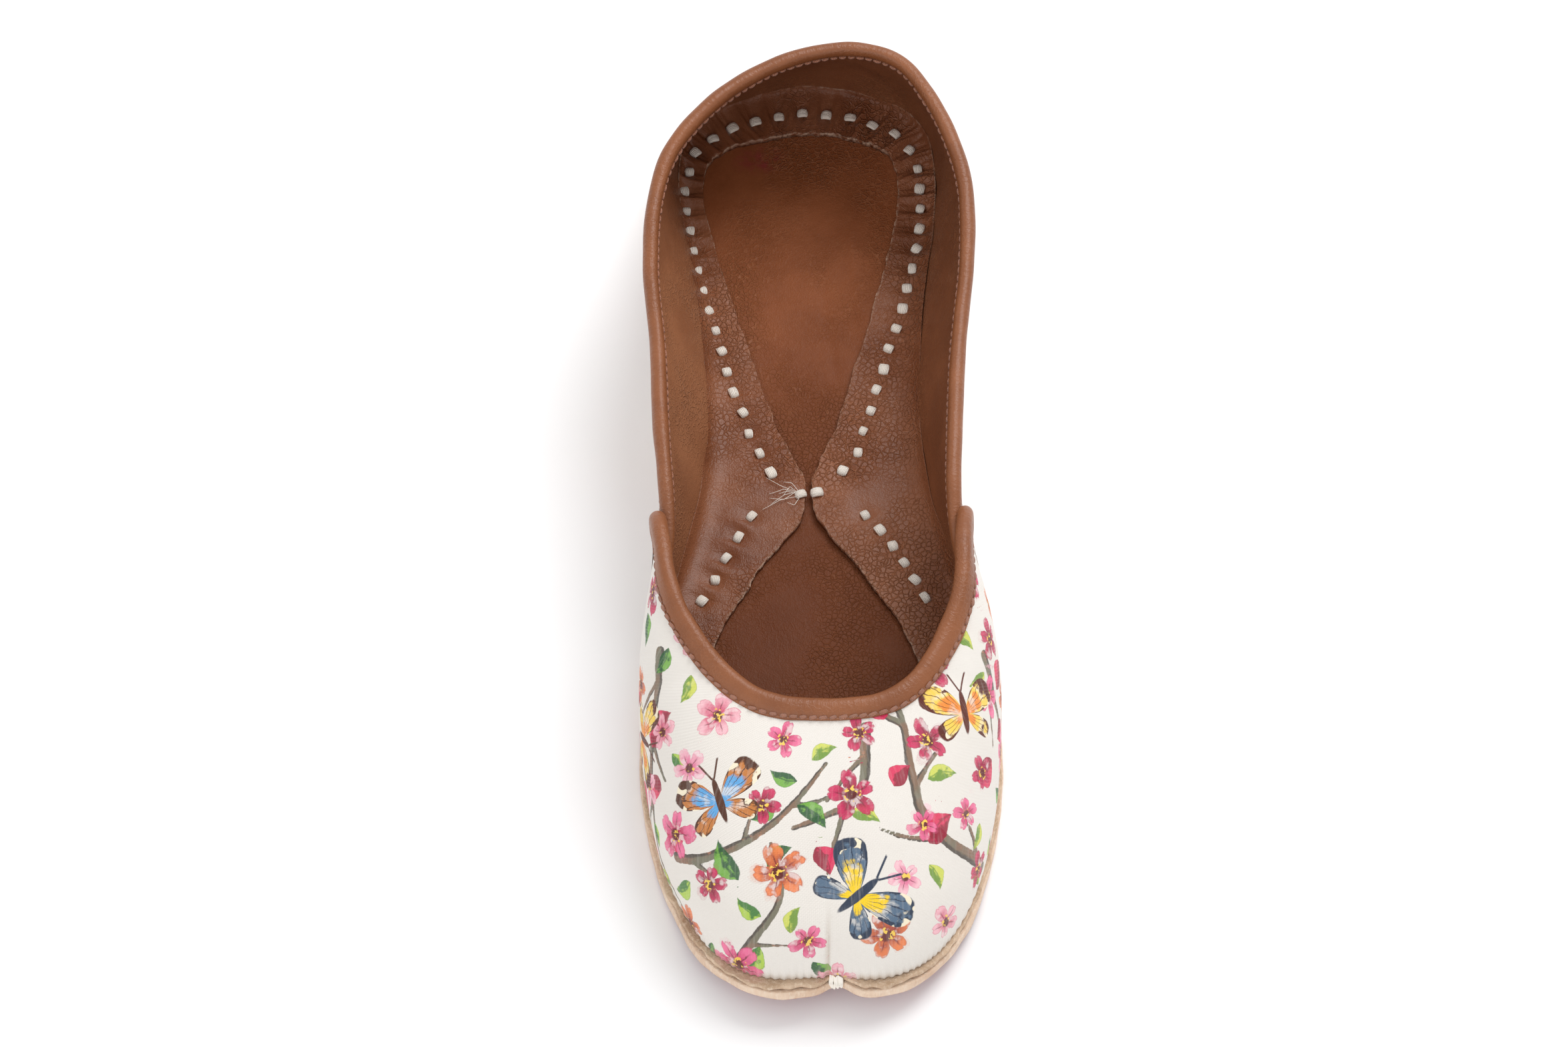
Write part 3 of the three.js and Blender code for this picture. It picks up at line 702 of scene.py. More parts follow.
def ink_butterfly(tree, ground, place):
    """A butterfly with its wings spread across its own y."""
    x, y, seed, near = motif(tree, "butterfly")
    wet = noise(tree, place, 3, 4) - 0.5
    spread = y.math("ABSOLUTE")
    radius = length_of(x, spread) + wet * 0.12
    angle = spread.math("ARCTAN2", x) * (180 / math.pi)
    reach = wing_reach(angle, *FORE_WING).math("MAXIMUM", wing_reach(angle, *HIND_WING) * HIND_WING_REACH)
    inside = reach - radius
    light = palette(tree, seed, WING_LIGHTS)
    dark = palette(tree, seed, WING_DARKS)
    tip = palette(tree, seed, WING_TIPS)
    share = radius / reach.math("MAXIMUM", 0.1) + wet * 0.5
    wing = mix(tree, (share + angle.above(70, 110) * 0.2).above(0.5, 0.62), light, tip)
    wing = mix(tree, wet.above(0.0, 0.14) * 0.55, wing, WING_WHITE)
    vein = ((angle + wet * 14) * (math.pi / 11)).math("SINE").math("ABSOLUTE").above(0.26, 0.1)
    wing = mix(tree, vein * radius.above(0.14, 0.24), wing, dark)
    wing = mix(tree, (share + wet * 0.2).above(0.78, 0.86), wing, dark)
    spot = noise(tree, place, 2.1, 0).above(0.6, 0.64) * share.above(0.8, 0.86)
    wing = mix(tree, spot, wing, WING_SPOT)
    drawn = mix(tree, inside.above(0, 0.03) * near, ground, wing)
    feeler = (spread - (x - 0.42) * 0.5).math("ABSOLUTE").above(0.03, 0.012) * x.above(0.44, 0.47)
    drawn = mix(tree, feeler * x.above(0.84, 0.8) * near, drawn, dark)
    trunk = length_of(x * 2.1 - 0.1, spread * 12 + wet * 0.4).above(1, 0.85) * near
    return mix(tree, trunk, drawn, dark)


BARK_BROWN = (0.2, 0.105, 0.055)
BARK_GREEN = (0.15, 0.14, 0.085)
BARK_SHADE = (0.04, 0.025, 0.014)
BARK_RUST = (0.55, 0.2, 0.09)


def ink_twig(tree, ground, place):
    """Bark in a brown wash, darker along one side."""
    past, side, _ = parts_of(tree, painted(tree, "twig", "Vector"))
    wet = noise(tree, place, 2.2, 4, 0.6) - 0.5
    inside = (past + wet * 0.9) * -1
    bark = mix(tree, noise(tree, place, 6, 3).above(0.4, 0.6), BARK_BROWN, BARK_GREEN)
    bark = mix(tree, (side + wet).above(0.1, 0.5), bark, BARK_SHADE)
    bark = mix(tree, wet.above(0.08, 0.22) * 0.7, bark, BARK_RUST)
    return mix(tree, inside.above(0, 0.2) * 0.92, ground, bark)


SPLASH_PITCH = 12
SPLASH_BLUE = (0.5, 0.62, 0.86)
SPLASH_PINK = (0.9, 0.5, 0.6)


def ink_splashes(tree, ground, place):
    """Pale drops of blue and pink."""
    node = tree.nodes.new("ShaderNodeTexVoronoi")
    plug(tree, place, node.inputs["Vector"])
    node.inputs["Scale"].default_value = 1 / (SPLASH_PITCH * MM)
    distance, hue = Wire(tree, node.outputs["Distance"]), Wire(tree, node.outputs["Color"])
    red, green, _ = parts_of(tree, hue)
    size = red.above(0.45, 1) * 0.13
    drop = (size - distance - noise(tree, place, 1.5, 2) * 0.04).above(-0.01, 0.02) * red.above(0.45, 0.5)
    colour = mix(tree, green.above(0.4, 0.5), SPLASH_BLUE, SPLASH_PINK)
    return mix(tree, drop * 0.5, ground, colour)


# Materials


def new_material(name, **fixed):
    """A material with the shader's fixed values set on its own sockets."""
    material = bpy.data.materials.new(name)
    material.use_nodes = True
    tree = material.node_tree
    shader = tree.nodes["Principled BSDF"]
    for label, value in fixed.items():
        shader.inputs[label.replace("_", " ")].default_value = value
    return material, tree, shader


CLOTH_SHADES = ((0.77, 0.72, 0.66), (0.82, 0.78, 0.73))
CLOTH_SLUB = (0.8, 0.77, 0.73)
CLOTH_SOIL_AND_SHADE = (0.5, 0.38, 0.27)
CLOTH_DUST = (0.55, 0.45, 0.36)
WEAVE_PITCH = 0.42
LEATHER_FIBRE = (0.62, 0.45, 0.34)
LEATHER_DUST = (0.5, 0.4, 0.33)


def make_printed_cotton():
    material, tree, shader = new_material("printed_cotton", Sheen_Weight=0.15, Sheen_Roughness=0.5)
    place = object_place(tree)
    weave = use(tree, weave_group, {"Vector": painted(tree, "cloth", "Vector"), "Pitch": WEAVE_PITCH})
    ground = mix(tree, noise(tree, place, 25, 3), *CLOTH_SHADES)
    for ink in (ink_splashes, ink_twig, ink_leaf, ink_blossom, ink_butterfly):
        ground = ink(tree, ground, place)
    ground = mix(tree, weave["Slub"].above(0.45, 0.8) * 0.16, ground, CLOTH_SLUB)
    dust = use(tree, dust_group, {"Vector": place, "Amount": 0.12})
    # Darker near the sole, partly soil and partly painted shade where the cloth meets the sole, and painted
    # shadow in the toe seam's groove.
    ground = mix(tree, painted(tree, "soil_and_shade") * 0.55, ground, CLOTH_SOIL_AND_SHADE)
    ground = mix(tree, dust["Mask"], ground, CLOTH_DUST)
    plug(tree, ground, shader.inputs["Base Color"])
    plug(tree, weave["Slub"] * 0.15 + 0.78, shader.inputs["Roughness"])
    height = weave["Height"] * 0.5 + noise(tree, place, 3, 3) * 0.5
    plug(tree, relief(tree, height, 0.22, 0.6), shader.inputs["Normal"])
    return material


def make_leather(
    name,
    shades,
    lines,
    spacing=1.3,
    depth=0.28,
    rough=(0.36, 0.6),
    dust=0.04,
    shine=0.25,
    wrinkles=0.0,
    mark=None,
):
    """Dyed leather: shades are its dark, middle and light colours, and mark adds what is its own."""
    material, tree, shader = new_material(name, Specular_IOR_Level=shine)
    place = object_place(tree)
    grain = use(tree, grain_group, {"Vector": place, "Line spacing": spacing, "Lines": lines})
    colour = mix(tree, grain["Cloud"].above(0.3, 0.7), shades[0], shades[1])
    colour = mix(tree, grain["Line"] * 0.5 + grain["Pore"].above(0.55, 0.8) * 0.3, colour, shades[2])
    # Lighter where painted: wear on the turned-in margin, and painted light on the left wall's lining, where
    # the key lamp falls.
    wear_and_light = painted(tree, "wear_and_light") * (grain["Cloud"].above(0.2, 0.8) * 0.4 + 0.5)
    colour = mix(tree, wear_and_light, colour, shades[2])
    raw = painted(tree, "raw") * noise(tree, place, 1.1, 3).above(0.36, 0.62)
    colour = mix(tree, raw, colour, LEATHER_FIBRE)
    specks = use(tree, dust_group, {"Vector": place, "Amount": dust})
    colour = mix(tree, specks["Mask"], colour, LEATHER_DUST)
    if mark:
        colour = mark(tree, colour, place)
    plug(tree, colour, shader.inputs["Base Color"])
    gloss = grain["Cloud"] * (rough[1] - rough[0]) + rough[0] + raw * 0.25
    plug(tree, gloss, shader.inputs["Roughness"])
    height = grain["Height"]
    if wrinkles:
        along = painted(tree, "path", "Vector")
        height = height + noise(tree, along, 1.2, 2).above(0.4, 0.75) * wrinkles
    plug(tree, relief(tree, height, depth), shader.inputs["Normal"])
    return material


# Painted shade that darkens the footbed from the waist to the toe, and the leather's own pink stain.
FOOTBED_PAINTED_SHADE = (0.085, 0.022, 0.008)
STAIN_PINK = (0.3, 0.02, 0.05)
STAIN = {"x": -12, "s": 237, "long": 9, "wide": 5.5}
SHADE_FROM, SHADE_TO = 205, 140


def mark_footbed(tree, colour, place):
    """A footbed darkened from the waist to the toe by painted shade, with a faint pink stain near the heel.
    """
    x, y, _ = parts_of(tree, place)
    # Painted shade: darker from the waist to the toe, as the sheen at the heel falls off.
    painted_shade = y.above((SHADE_FROM + SHIFT[1]) * MM, (SHADE_TO + SHIFT[1]) * MM)
    colour = mix(tree, painted_shade * 0.6, colour, FOOTBED_PAINTED_SHADE)
    x = (x - (STAIN["x"] + SHIFT[0]) * MM) / (STAIN["long"] * MM)
    y = (y - (STAIN["s"] + SHIFT[1]) * MM) / (STAIN["wide"] * MM)
    stain = length_of(x, y).above(1, 0.2) * noise(tree, place, 3, 3).above(0.3, 0.7)
    return mix(tree, stain * 0.55, colour, STAIN_PINK)


SCUFF_PINK = (0.62, 0.2, 0.17)
RUN_DYE = (0.4, 0.02, 0.04)


def mark_scuffs(tree, colour, place):
    """Scratches along the sole and scuffed patches."""
    scratch = noise(tree, stretched(tree, place, 1, 0.05, 1), 1.3, 2, 0.7).above(0.66, 0.74)
    scuff = noise(tree, place, 26, 4, 0.7).above(0.56, 0.7) * noise(tree, place, 1.6, 2).above(0.35, 0.7)
    return mix(tree, scratch * 0.28 + scuff * 0.35, colour, SCUFF_PINK)


def make_cut_leather(name, shades, streak):
    """Leather's undyed cut edge, with fibres along it."""
    material, tree, shader = new_material(name, Specular_IOR_Level=0.2)
    place = object_place(tree)
    fibres = noise(tree, stretched(tree, place, 1, 1, streak), 0.9, 4, 0.7)
    colour = mix(tree, noise(tree, place, 7, 4, 0.6).above(0.3, 0.7), shades[0], shades[1])
    colour = mix(tree, fibres.above(0.45, 0.75) * 0.7, colour, shades[2])
    dyed = painted(tree, "dyed") * noise(tree, place, 1.4, 3).above(0.3, 0.6)
    plug(tree, mix(tree, dyed, colour, RUN_DYE), shader.inputs["Base Color"])
    plug(tree, fibres * 0.2 + 0.7, shader.inputs["Roughness"])
    plug(tree, relief(tree, fibres, 0.5), shader.inputs["Normal"])
    return material


def make_thread(name, shades, twist, depth):
    """Twisted or loose strands across a stitch's own width."""
    material, tree, shader = new_material(name, Sheen_Weight=0.3)
    place = object_place(tree)
    x, y, _ = parts_of(tree, painted(tree, "strand", "Vector"))
    stripes = ((y + x * twist) * 34 + noise(tree, place, 0.7, 2) * 3).math("SINE") * 0.5 + 0.5
    # Painted shade in the grooves between strands and painted highlight on their crests, following the
    # relief.
    colour = mix(tree, stripes, shades[0], shades[1])
    colour = mix(tree, noise(tree, place, 4, 3).above(0.45, 0.75) * 0.5, colour, shades[2])
    plug(tree, colour, shader.inputs["Base Color"])
    plug(tree, stripes * 0.15 + 0.75, shader.inputs["Roughness"])
    plug(tree, relief(tree, stripes, depth), shader.inputs["Normal"])
    return material


LINING_SHADES = ((0.19, 0.066, 0.028), (0.25, 0.09, 0.038), (0.4, 0.17, 0.08))
MARGIN_SHADES = ((0.145, 0.043, 0.016), (0.2, 0.062, 0.023), (0.33, 0.13, 0.064))
BINDING_SHADES = ((0.21, 0.07, 0.026), (0.265, 0.092, 0.035), (0.38, 0.16, 0.08))
FOOTBED_SHADES = ((0.21, 0.062, 0.021), (0.27, 0.085, 0.032), (0.4, 0.17, 0.085))
RED_SHADES = ((0.24, 0.006, 0.018), (0.4, 0.011, 0.028), (0.56, 0.08, 0.08))
CUT_SHADES = ((0.7, 0.49, 0.35), (0.82, 0.64, 0.49), (0.9, 0.78, 0.65))
ROUGH_SHADES = ((0.46, 0.31, 0.2), (0.7, 0.52, 0.37), (0.84, 0.69, 0.54))
# The first two colours of each thread are its painted shade in the strand grooves and its painted highlight
# on the crests.
COTTON_SHADES = ((0.86, 0.78, 0.68), (0.95, 0.9, 0.82), (0.88, 0.79, 0.68))
COPPER_SHADES = ((0.24, 0.08, 0.045), (0.62, 0.28, 0.17), (0.42, 0.16, 0.09))

printed_cotton = make_printed_cotton()
lining_leather = make_leather("lining_leather", LINING_SHADES, lines=0.9)
margin_leather = make_leather(
    "margin_leather", MARGIN_SHADES, lines=0.9, depth=0.34, rough=(0.24, 0.42), dust=0.02, shine=0.28
)
binding_leather = make_leather(
    "binding_leather",
    BINDING_SHADES,
    lines=0.25,
    depth=0.22,
    rough=(0.32, 0.46),
    dust=0.02,
    shine=0.38,
    wrinkles=0.3,
)
footbed_leather = make_leather(
    "footbed_leather",
    FOOTBED_SHADES,
    lines=0.75,
    spacing=1.15,
    rough=(0.32, 0.48),
    dust=0.02,
    shine=0.1,
    mark=mark_footbed,
)
red_leather = make_leather(
    "red_leather",
    RED_SHADES,
    lines=0.7,
    spacing=2.4,
    depth=0.35,
    rough=(0.34, 0.6),
    dust=0.3,
    mark=mark_scuffs,
)
cut_leather = make_cut_leather("cut_leather", CUT_SHADES, streak=0.2)
rough_leather = make_cut_leather("rough_leather", ROUGH_SHADES, streak=0.4)
cotton_cord = make_thread("cotton_cord", COTTON_SHADES, twist=0.1, depth=0.12)
copper_thread = make_thread("copper_thread", COPPER_SHADES, twist=0.9, depth=0.1)


# Camera, lights and floor

PHOTO_WIDTH = 2349
CAMERA_ELEVATION = 58
CAMERA_AZIMUTH = -1.098
CAMERA_DISTANCE = 1600
CAMERA_FOCAL_PIXELS = 9926.9
CAMERA_TARGET = (-7.778, -7.019, 20)
SENSOR_WIDTH = 36


def make_camera():
    data = bpy.data.cameras.new("camera")
    data.sensor_fit = "HORIZONTAL"
    data.sensor_width = SENSOR_WIDTH
    data.lens = CAMERA_FOCAL_PIXELS / PHOTO_WIDTH * SENSOR_WIDTH
    data.clip_end = 20
    camera = bpy.data.objects.new("camera", data)
    azimuth, elevation = math.radians(CAMERA_AZIMUTH), math.radians(CAMERA_ELEVATION)
    level = math.cos(elevation)
    back = Vector((math.sin(azimuth) * level, -math.cos(azimuth) * level, math.sin(elevation)))
    camera.location = (Vector(CAMERA_TARGET) + back * CAMERA_DISTANCE) * MM
    camera.rotation_euler = (-back).to_track_quat("-Z", "Y").to_euler()
    bpy.context.scene.collection.objects.link(camera)
    bpy.context.scene.camera = camera


LAMPS = (
    # name, place, size and power
    ("key", (0.6, 0.85, 1.45), 1.1, 19),
    ("fill", (-1.1, -0.9, 1.2), 1.6, 3.5),
    ("front", (-0.3, -1.3, 1.0), 1.4, 4),
)
LAMP_AIM = Vector((0, 0, 0.02))
SKY_STRENGTH = 0.72
FLOOR_HALF = 3.0
FLOOR_SHADES = ((0.92, 0.92, 0.925), (0.94, 0.94, 0.945))


def make_lights():
    for name, place, size, power in LAMPS:
        data = bpy.data.lights.new(name, "AREA")
        data.shape = "DISK"
        data.size = size
        data.energy = power
        lamp = bpy.data.objects.new(name, data)
        lamp.location = place
        lamp.rotation_euler = (LAMP_AIM - Vector(place)).to_track_quat("-Z", "Y").to_euler()
        bpy.context.scene.collection.objects.link(lamp)
    world = bpy.data.worlds.new("studio")
    world.use_nodes = True
    background = world.node_tree.nodes["Background"]
    background.inputs["Color"].default_value = (1, 1, 1, 1)
    background.inputs["Strength"].default_value = SKY_STRENGTH
    bpy.context.scene.world = world
    bpy.context.scene.view_settings.view_transform = "Standard"


def make_floor():
    corners = [(-FLOOR_HALF, -FLOOR_HALF, 0), (FLOOR_HALF, -FLOOR_HALF, 0)]
    corners += [(FLOOR_HALF, FLOOR_HALF, 0), (-FLOOR_HALF, FLOOR_HALF, 0)]
    mesh = bpy.data.meshes.new("floor")
    mesh.from_pydata(corners, [], [(0, 1, 2, 3)])
    material, tree, shader = new_material("studio_floor", Roughness=0.95, Specular_IOR_Level=0.1)
    sweep = noise(tree, object_place(tree), 900, 1)
    plug(tree, mix(tree, sweep, *FLOOR_SHADES), shader.inputs["Base Color"])
    mesh.materials.append(material)
    floor = bpy.data.objects.new("floor", mesh)
    bpy.context.scene.collection.objects.link(floor)


# Print: where its twigs, blossoms, leaves and butterflies lie.

BRANCH_COLUMNS = "wall turn height heading length half_width".split()
BRANCHES = (
    ("vamp", 0.12, 0.15, -35, 62, 1.8),
    ("vamp", 0.04, 0.92, 190, 36, 1.5),
    ("vamp", -0.17, 0.75, 150, 52, 1.5),
    ("vamp", -0.06, 0.08, 25, 36, 1.3),
    ("vamp", 0.17, 0.7, 200, 40, 1.3),
    ("vamp", -0.11, 0.3, 60, 50, 1.4),
    ("quarter", 0.27, 0.15, 60, 48, 1.6),
    ("quarter", 0.36, 0.2, 40, 44, 1.4),
    ("quarter", 0.42, 0.8, 215, 46, 1.5),
    ("quarter", 0.52, 0.12, 50, 44, 1.5),
    ("quarter", 0.5, 0.8, 160, 44, 1.3),
    ("quarter", 0.66, 0.8, 160, 50, 1.6),
    ("quarter", 0.74, 0.2, -50, 40, 1.4),
)
SHOOT_PITCH = 15
SHOOT_ANGLE = 42
SHOOT_LENGTHS = (9, 20)
SHOOT_SHARE = 0.55
BRANCH_STEP = 1.6

MOTIF_COLUMNS = "label count least most gap hug".split()
MOTIF_TRIES = 4000
MOTIFS = (
    # label, most pieces, smallest and largest radius, free room round each, and how near twigs it keeps
    ("blossom", 44, 4.4, 7.8, 2.2, 24),
    ("leaf", 44, 3.2, 5.8, 2.6, 10),
)
BUTTERFLY_COLUMNS = "wall turn height radius spin seed".split()
BUTTERFLIES = (
    ("vamp", 0.02, 0.42, 14.0, 50, 0.1),
    ("vamp", -0.075, 0.62, 12.5, -40, 0.5),
    ("vamp", 0.125, 0.72, 12.0, 25, 0.8),
    ("vamp", -0.165, 0.35, 12.0, 70, 0.9),
    ("quarter", 0.33, 0.6, 13.0, -30, 0.2),
    ("quarter", 0.46, 0.45, 12.5, 40, 0.9),
    ("quarter", 0.58, 0.55, 13.0, 20, 0.5),
    ("quarter", 0.7, 0.5, 12.0, -60, 0.8),
)
UPHILL = np.array([0, 0.35, 1.0])


def place_on(wall, row):
    """The point of a wall's outer face at a row's turn and height."""
    turn, height, out = (np.array(value) for value in (row["turn"], row["height"], WALL / 2))
    return wall_point(turn, height, out, OFFSETS[wall])


def surface_frame(normal, spin):
    """Two directions in a surface, the first turned by spin from straight up the wall."""
    up = unit(UPHILL - normal * float(UPHILL @ normal))
    beside = np.cross(up, normal)
    return up * math.cos(spin) + beside * math.sin(spin), beside * math.cos(spin) - up * math.sin(spin)


def grow(points, normals, start, heading, length, half_width, chance):
    """A twig that walks over the surface in a slowly bending line, thinner towards its end."""
    place, bend = start, chance.uniform(-1, 1)
    path, widths, headings = [], [], []
    steps = max(3, int(length / BRANCH_STEP))
    for step in range(steps):
        at = int(np.argmin(np.linalg.norm(points - place, axis=1)))
        normal = normals[at]
        place = place - normal * float((place - points[at]) @ normal)
        path.append(place)
        widths.append(half_width * (1 - 0.6 * step / steps))
        headings.append(heading)
        bend = 0.8 * bend + chance.normal() * 0.35
        heading += bend * 0.09
        place = place + surface_frame(normal, heading)[0] * BRANCH_STEP
    return np.array(path), np.array(widths), headings


def twigs_on(wall, points, normals, chance):
    """All twigs of one wall: the branches of the table and the shoots that leave them."""
    twigs = []
    shoot_steps = int(SHOOT_PITCH / BRANCH_STEP)
    for branch in rows_for(wall, BRANCH_COLUMNS, BRANCHES):
        start = place_on(wall, branch)
        heading, half_width = math.radians(branch["heading"]), branch["half_width"]
        path, widths, headings = grow(points, normals, start, heading, branch["length"], half_width, chance)
        twigs.append((path, widths))
        side = 1
        for at in range(shoot_steps // 2, len(path), shoot_steps):
            heading = headings[at] + side * math.radians(SHOOT_ANGLE)
            length = chance.uniform(*SHOOT_LENGTHS)
            shoot = grow(points, normals, path[at], heading, length, half_width * SHOOT_SHARE, chance)
            twigs.append(shoot[:2])
            side = -side
    return twigs


def twig_paint(points, normals, twigs):
    """For each point, how far it is past the nearest twig's edge, and on which side."""
    past = np.full(len(points), 9.0)
    side = np.zeros(len(points))
    for path, widths in twigs:
        for i in range(len(path) - 1):
            step = path[i + 1] - path[i]
            near = np.linalg.norm(points - path[i], axis=1) < 12
            away = points[near] - path[i]
            share = np.clip(away @ step / float(step @ step), 0, 1)
            gap = away - share[:, None] * step
            width = widths[i] + (widths[i + 1] - widths[i]) * share
            distance = np.linalg.norm(gap, axis=1) - width
            turned = np.sign((np.cross(step, gap) * normals[near]).sum(1))
            closer = distance < past[near]
            side[near] = np.where(closer, turned * np.clip((distance + width) / width, 0, 1), side[near])
            past[near] = np.minimum(past[near], distance)
    return stack(past, side, np.zeros(len(points)), np.ones(len(points)))


def scatter(points, normals, twigs, butterflies, row, chance):
    """Motifs laid on the surface with free room round each, near the twigs."""
    motifs = dict(zip(MOTIF_COLUMNS, row))
    stems = np.concatenate([path for path, _ in twigs])
    laid = []
    for _ in range(MOTIF_TRIES):
        if len(laid) == motifs["count"]:
            break
        at = int(chance.integers(len(points)))
        radius = chance.uniform(motifs["least"], motifs["most"])
        spin, seed = chance.uniform(0, 2 * math.pi), chance.uniform(0, 1)
        place = points[at]
        if any(
            np.linalg.norm(place - other) < radius + size + motifs["gap"] for other, _, size, _, _ in laid
        ):
            continue
        if np.linalg.norm(stems - place, axis=1).min() > motifs["hug"]:
            continue
        if any(np.linalg.norm(place - other) < size * 0.75 for other, _, size, _, _ in butterflies):
            continue
        laid.append((place, normals[at], radius, spin, seed))
    return laid


def motif_paint(points, laid):
    """For each point, its place on the nearest motif, the motif's seed, and whether it is near it."""
    paint = np.zeros((len(points), 4))
    paint[:, 0] = 9
    nearest = np.full(len(points), np.inf)
    for place, normal, radius, spin, seed in laid:
        ahead, beside = surface_frame(normal, spin)
        away = points - place
        distance = np.linalg.norm(away, axis=1) - radius
        closer = distance < nearest
        values = stack(away @ ahead / radius, away @ beside / radius, seed, distance < 1)
        paint[closer] = values[closer]
        nearest = np.minimum(nearest, distance)
    return paint


def butterflies_on(wall, points, normals):
    """The butterflies of the table, on the nearest points of the wall."""
    laid = []
    for one in rows_for(wall, BUTTERFLY_COLUMNS, BUTTERFLIES):
        at = int(np.argmin(np.linalg.norm(points - place_on(wall, one), axis=1)))
        laid.append((points[at], normals[at], one["radius"], math.radians(one["spin"]), one["seed"]))
    return laid


def print_paints(wall, points, normals):
    chance = np.random.default_rng(SEED + len(wall))
    twigs = twigs_on(wall, points, normals, chance)
    butterflies = butterflies_on(wall, points, normals)
    paints = {"twig": twig_paint(points, normals, twigs), "butterfly": motif_paint(points, butterflies)}
    for row in MOTIFS:
        laid = scatter(points, normals, twigs, butterflies, row, chance)
        paints[row[0]] = motif_paint(points, laid)
    return paints


# The upper: cloth outside and leather inside, each a thin closed shell.

CLOTH_SHARE = 0.45
CORNER_COLUMNS = 10
VAMP_COLUMNS, VAMP_ROWS = 300, 110
QUARTER_COLUMNS, QUARTER_ROWS = 380, 70
LINING_ROWS = 50
LINING_GAP = 0.02
DEEPEST = 0.5

CREASE_COLUMNS = "wall turn height to_turn to_height width depth".split()
CREASES = (
    ("vamp", 0.13, 0.9, 0.175, 0.42, 3.2, -0.4),
    ("vamp", 0.115, 0.86, 0.15, 0.4, 4.2, 0.22),
    ("vamp", -0.135, 0.92, -0.18, 0.45, 3.4, -0.36),
    ("vamp", -0.05, 0.55, 0.07, 0.48, 6.0, -0.25),
    ("vamp", -0.08, 0.35, 0.03, 0.3, 5.0, 0.2),
    ("quarter", 0.3, 0.9, 0.27, 0.3, 4.5, -0.45),
    ("quarter", 0.34, 0.8, 0.355, 0.25, 5.0, 0.3),
    ("quarter", 0.415, 0.75, 0.4, 0.2, 4.0, -0.35),
    ("quarter", 0.47, 0.55, 0.53, 0.5, 5.5, -0.35),
    ("quarter", 0.6, 0.85, 0.62, 0.25, 4.5, -0.4),
    ("quarter", 0.68, 0.8, 0.66, 0.3, 5.0, 0.3),
    ("quarter", 0.73, 0.85, 0.72, 0.35, 4.0, -0.35),
)
CREASE_STEPS = 8
TOE_SEAM_LENGTH = 13
GATHER_PITCH = 3.0
RING_LENGTH = 600


def crease_relief(wall, points):
    total = np.zeros(points.shape[:-1])
    for crease in rows_for(wall, CREASE_COLUMNS, CREASES):
        share = np.linspace(0, 1, CREASE_STEPS)
        u = crease["turn"] + (crease["to_turn"] - crease["turn"]) * share
        v = crease["height"] + (crease["to_height"] - crease["height"]) * share
        distance, _ = path_distance(points, form(u, v))
        total += crease["depth"] * bump(distance, crease["width"])
    return total


def gather_relief(u, points):
    """Little gathers where the cloth is drawn in at the sole, strongest round the toe."""
    height = np.maximum(0, points[..., 2] - feather_height(points[..., 1]))
    along = u * RING_LENGTH
    phase = 2 * math.pi / GATHER_PITCH * along + 2.5 * np.sin(along / 7)
    strength = 0.07 + 0.17 * smooth((0.16 - from_toe(u)) / 0.12)
    return strength * np.sin(phase) * bump(height, 5)


def toe_seam(u, points):
    """How far across the toe's seam each point lies, and how strong the seam is there."""
    across = points[..., 0] + 0.3 - 0.03 * points[..., 1]
    reach = 1 - smooth((points[..., 1] - TOE_SEAM_LENGTH * 0.4) / (TOE_SEAM_LENGTH * 0.75))
    return across, smooth((0.1 - from_toe(u)) / 0.02) * reach


def toe_seam_relief(u, points):
    """The short seam in the middle of the toe, its left side lapped over its right."""
    across, front = toe_seam(u, points)
    lap = 0.5 * np.where(across < 0, bump(across, 3.2), 0)
    return front * (lap - 0.6 * bump(across - 0.25, 0.5))


def cloth_relief(wall, u, points):
    slow = 0.2 * unevenness(points, 30) + 0.07 * unevenness(points, 10)
    low = gather_relief(u, points)
    if wall == "vamp":
        low = low + toe_seam_relief(u, points)
    return slow + crease_relief(wall, points) + low


def lining_relief(wall, _, points):
    wrinkles = 0.16 * unevenness(points * np.array([1, 1, 0.35]), 5) * smooth(unevenness(points, 40) + 0.4)
    return 0.18 * unevenness(points, 24) + wrinkles + 0.6 * crease_relief(wall, points)


def vamp_stations(count):
    """Places round the vamp, crowded into its rounded corners."""
    corner = SEAM - CORNER_TURN * (1 - np.sin(np.linspace(0, math.pi / 2, CORNER_COLUMNS)))
    middle = np.linspace(CORNER_TURN - SEAM, SEAM - CORNER_TURN, count - 2 * CORNER_COLUMNS)
    return np.concatenate([-corner[::-1], middle[1:-1], corner])


def wall_grid(stations, rows, top, offset, out, relief_of=None, wall=""):
    """A face of a wall as a grid of points, with its normals."""
    u = np.broadcast_to(stations[:, None], (len(stations), rows))
    v = np.linspace(0, 1, rows)[None, :] * top(u)
    points = wall_point(u, v, np.full(u.shape, float(out)), offset)
    normals = form_normal(u, v)
    if relief_of is not None:
        fade = smooth((1 - v / top(u)) * 9)
        rise = np.clip(relief_of(wall, u, points), -DEEPEST, DEEPEST)
        points = points + normals * (rise * fade)[..., None]
    points[:, 0, 2] = feather_height(points[:, 0, 1]) + 0.02
    return points, normals


def cloth_plane(points):
    """Each point's place in the cloth's own plane, in metres, for the weave."""
    across = np.cumsum(np.linalg.norm(np.diff(points, axis=0, prepend=points[:1]), axis=2), 0)
    across = np.broadcast_to(across[:, points.shape[1] // 2, None], points.shape[:2])
    climb = np.cumsum(np.linalg.norm(np.diff(points, axis=1, prepend=points[:, :1]), axis=2), 1)
    return stack(across * MM, climb * MM, 0, 1).reshape(-1, 4)


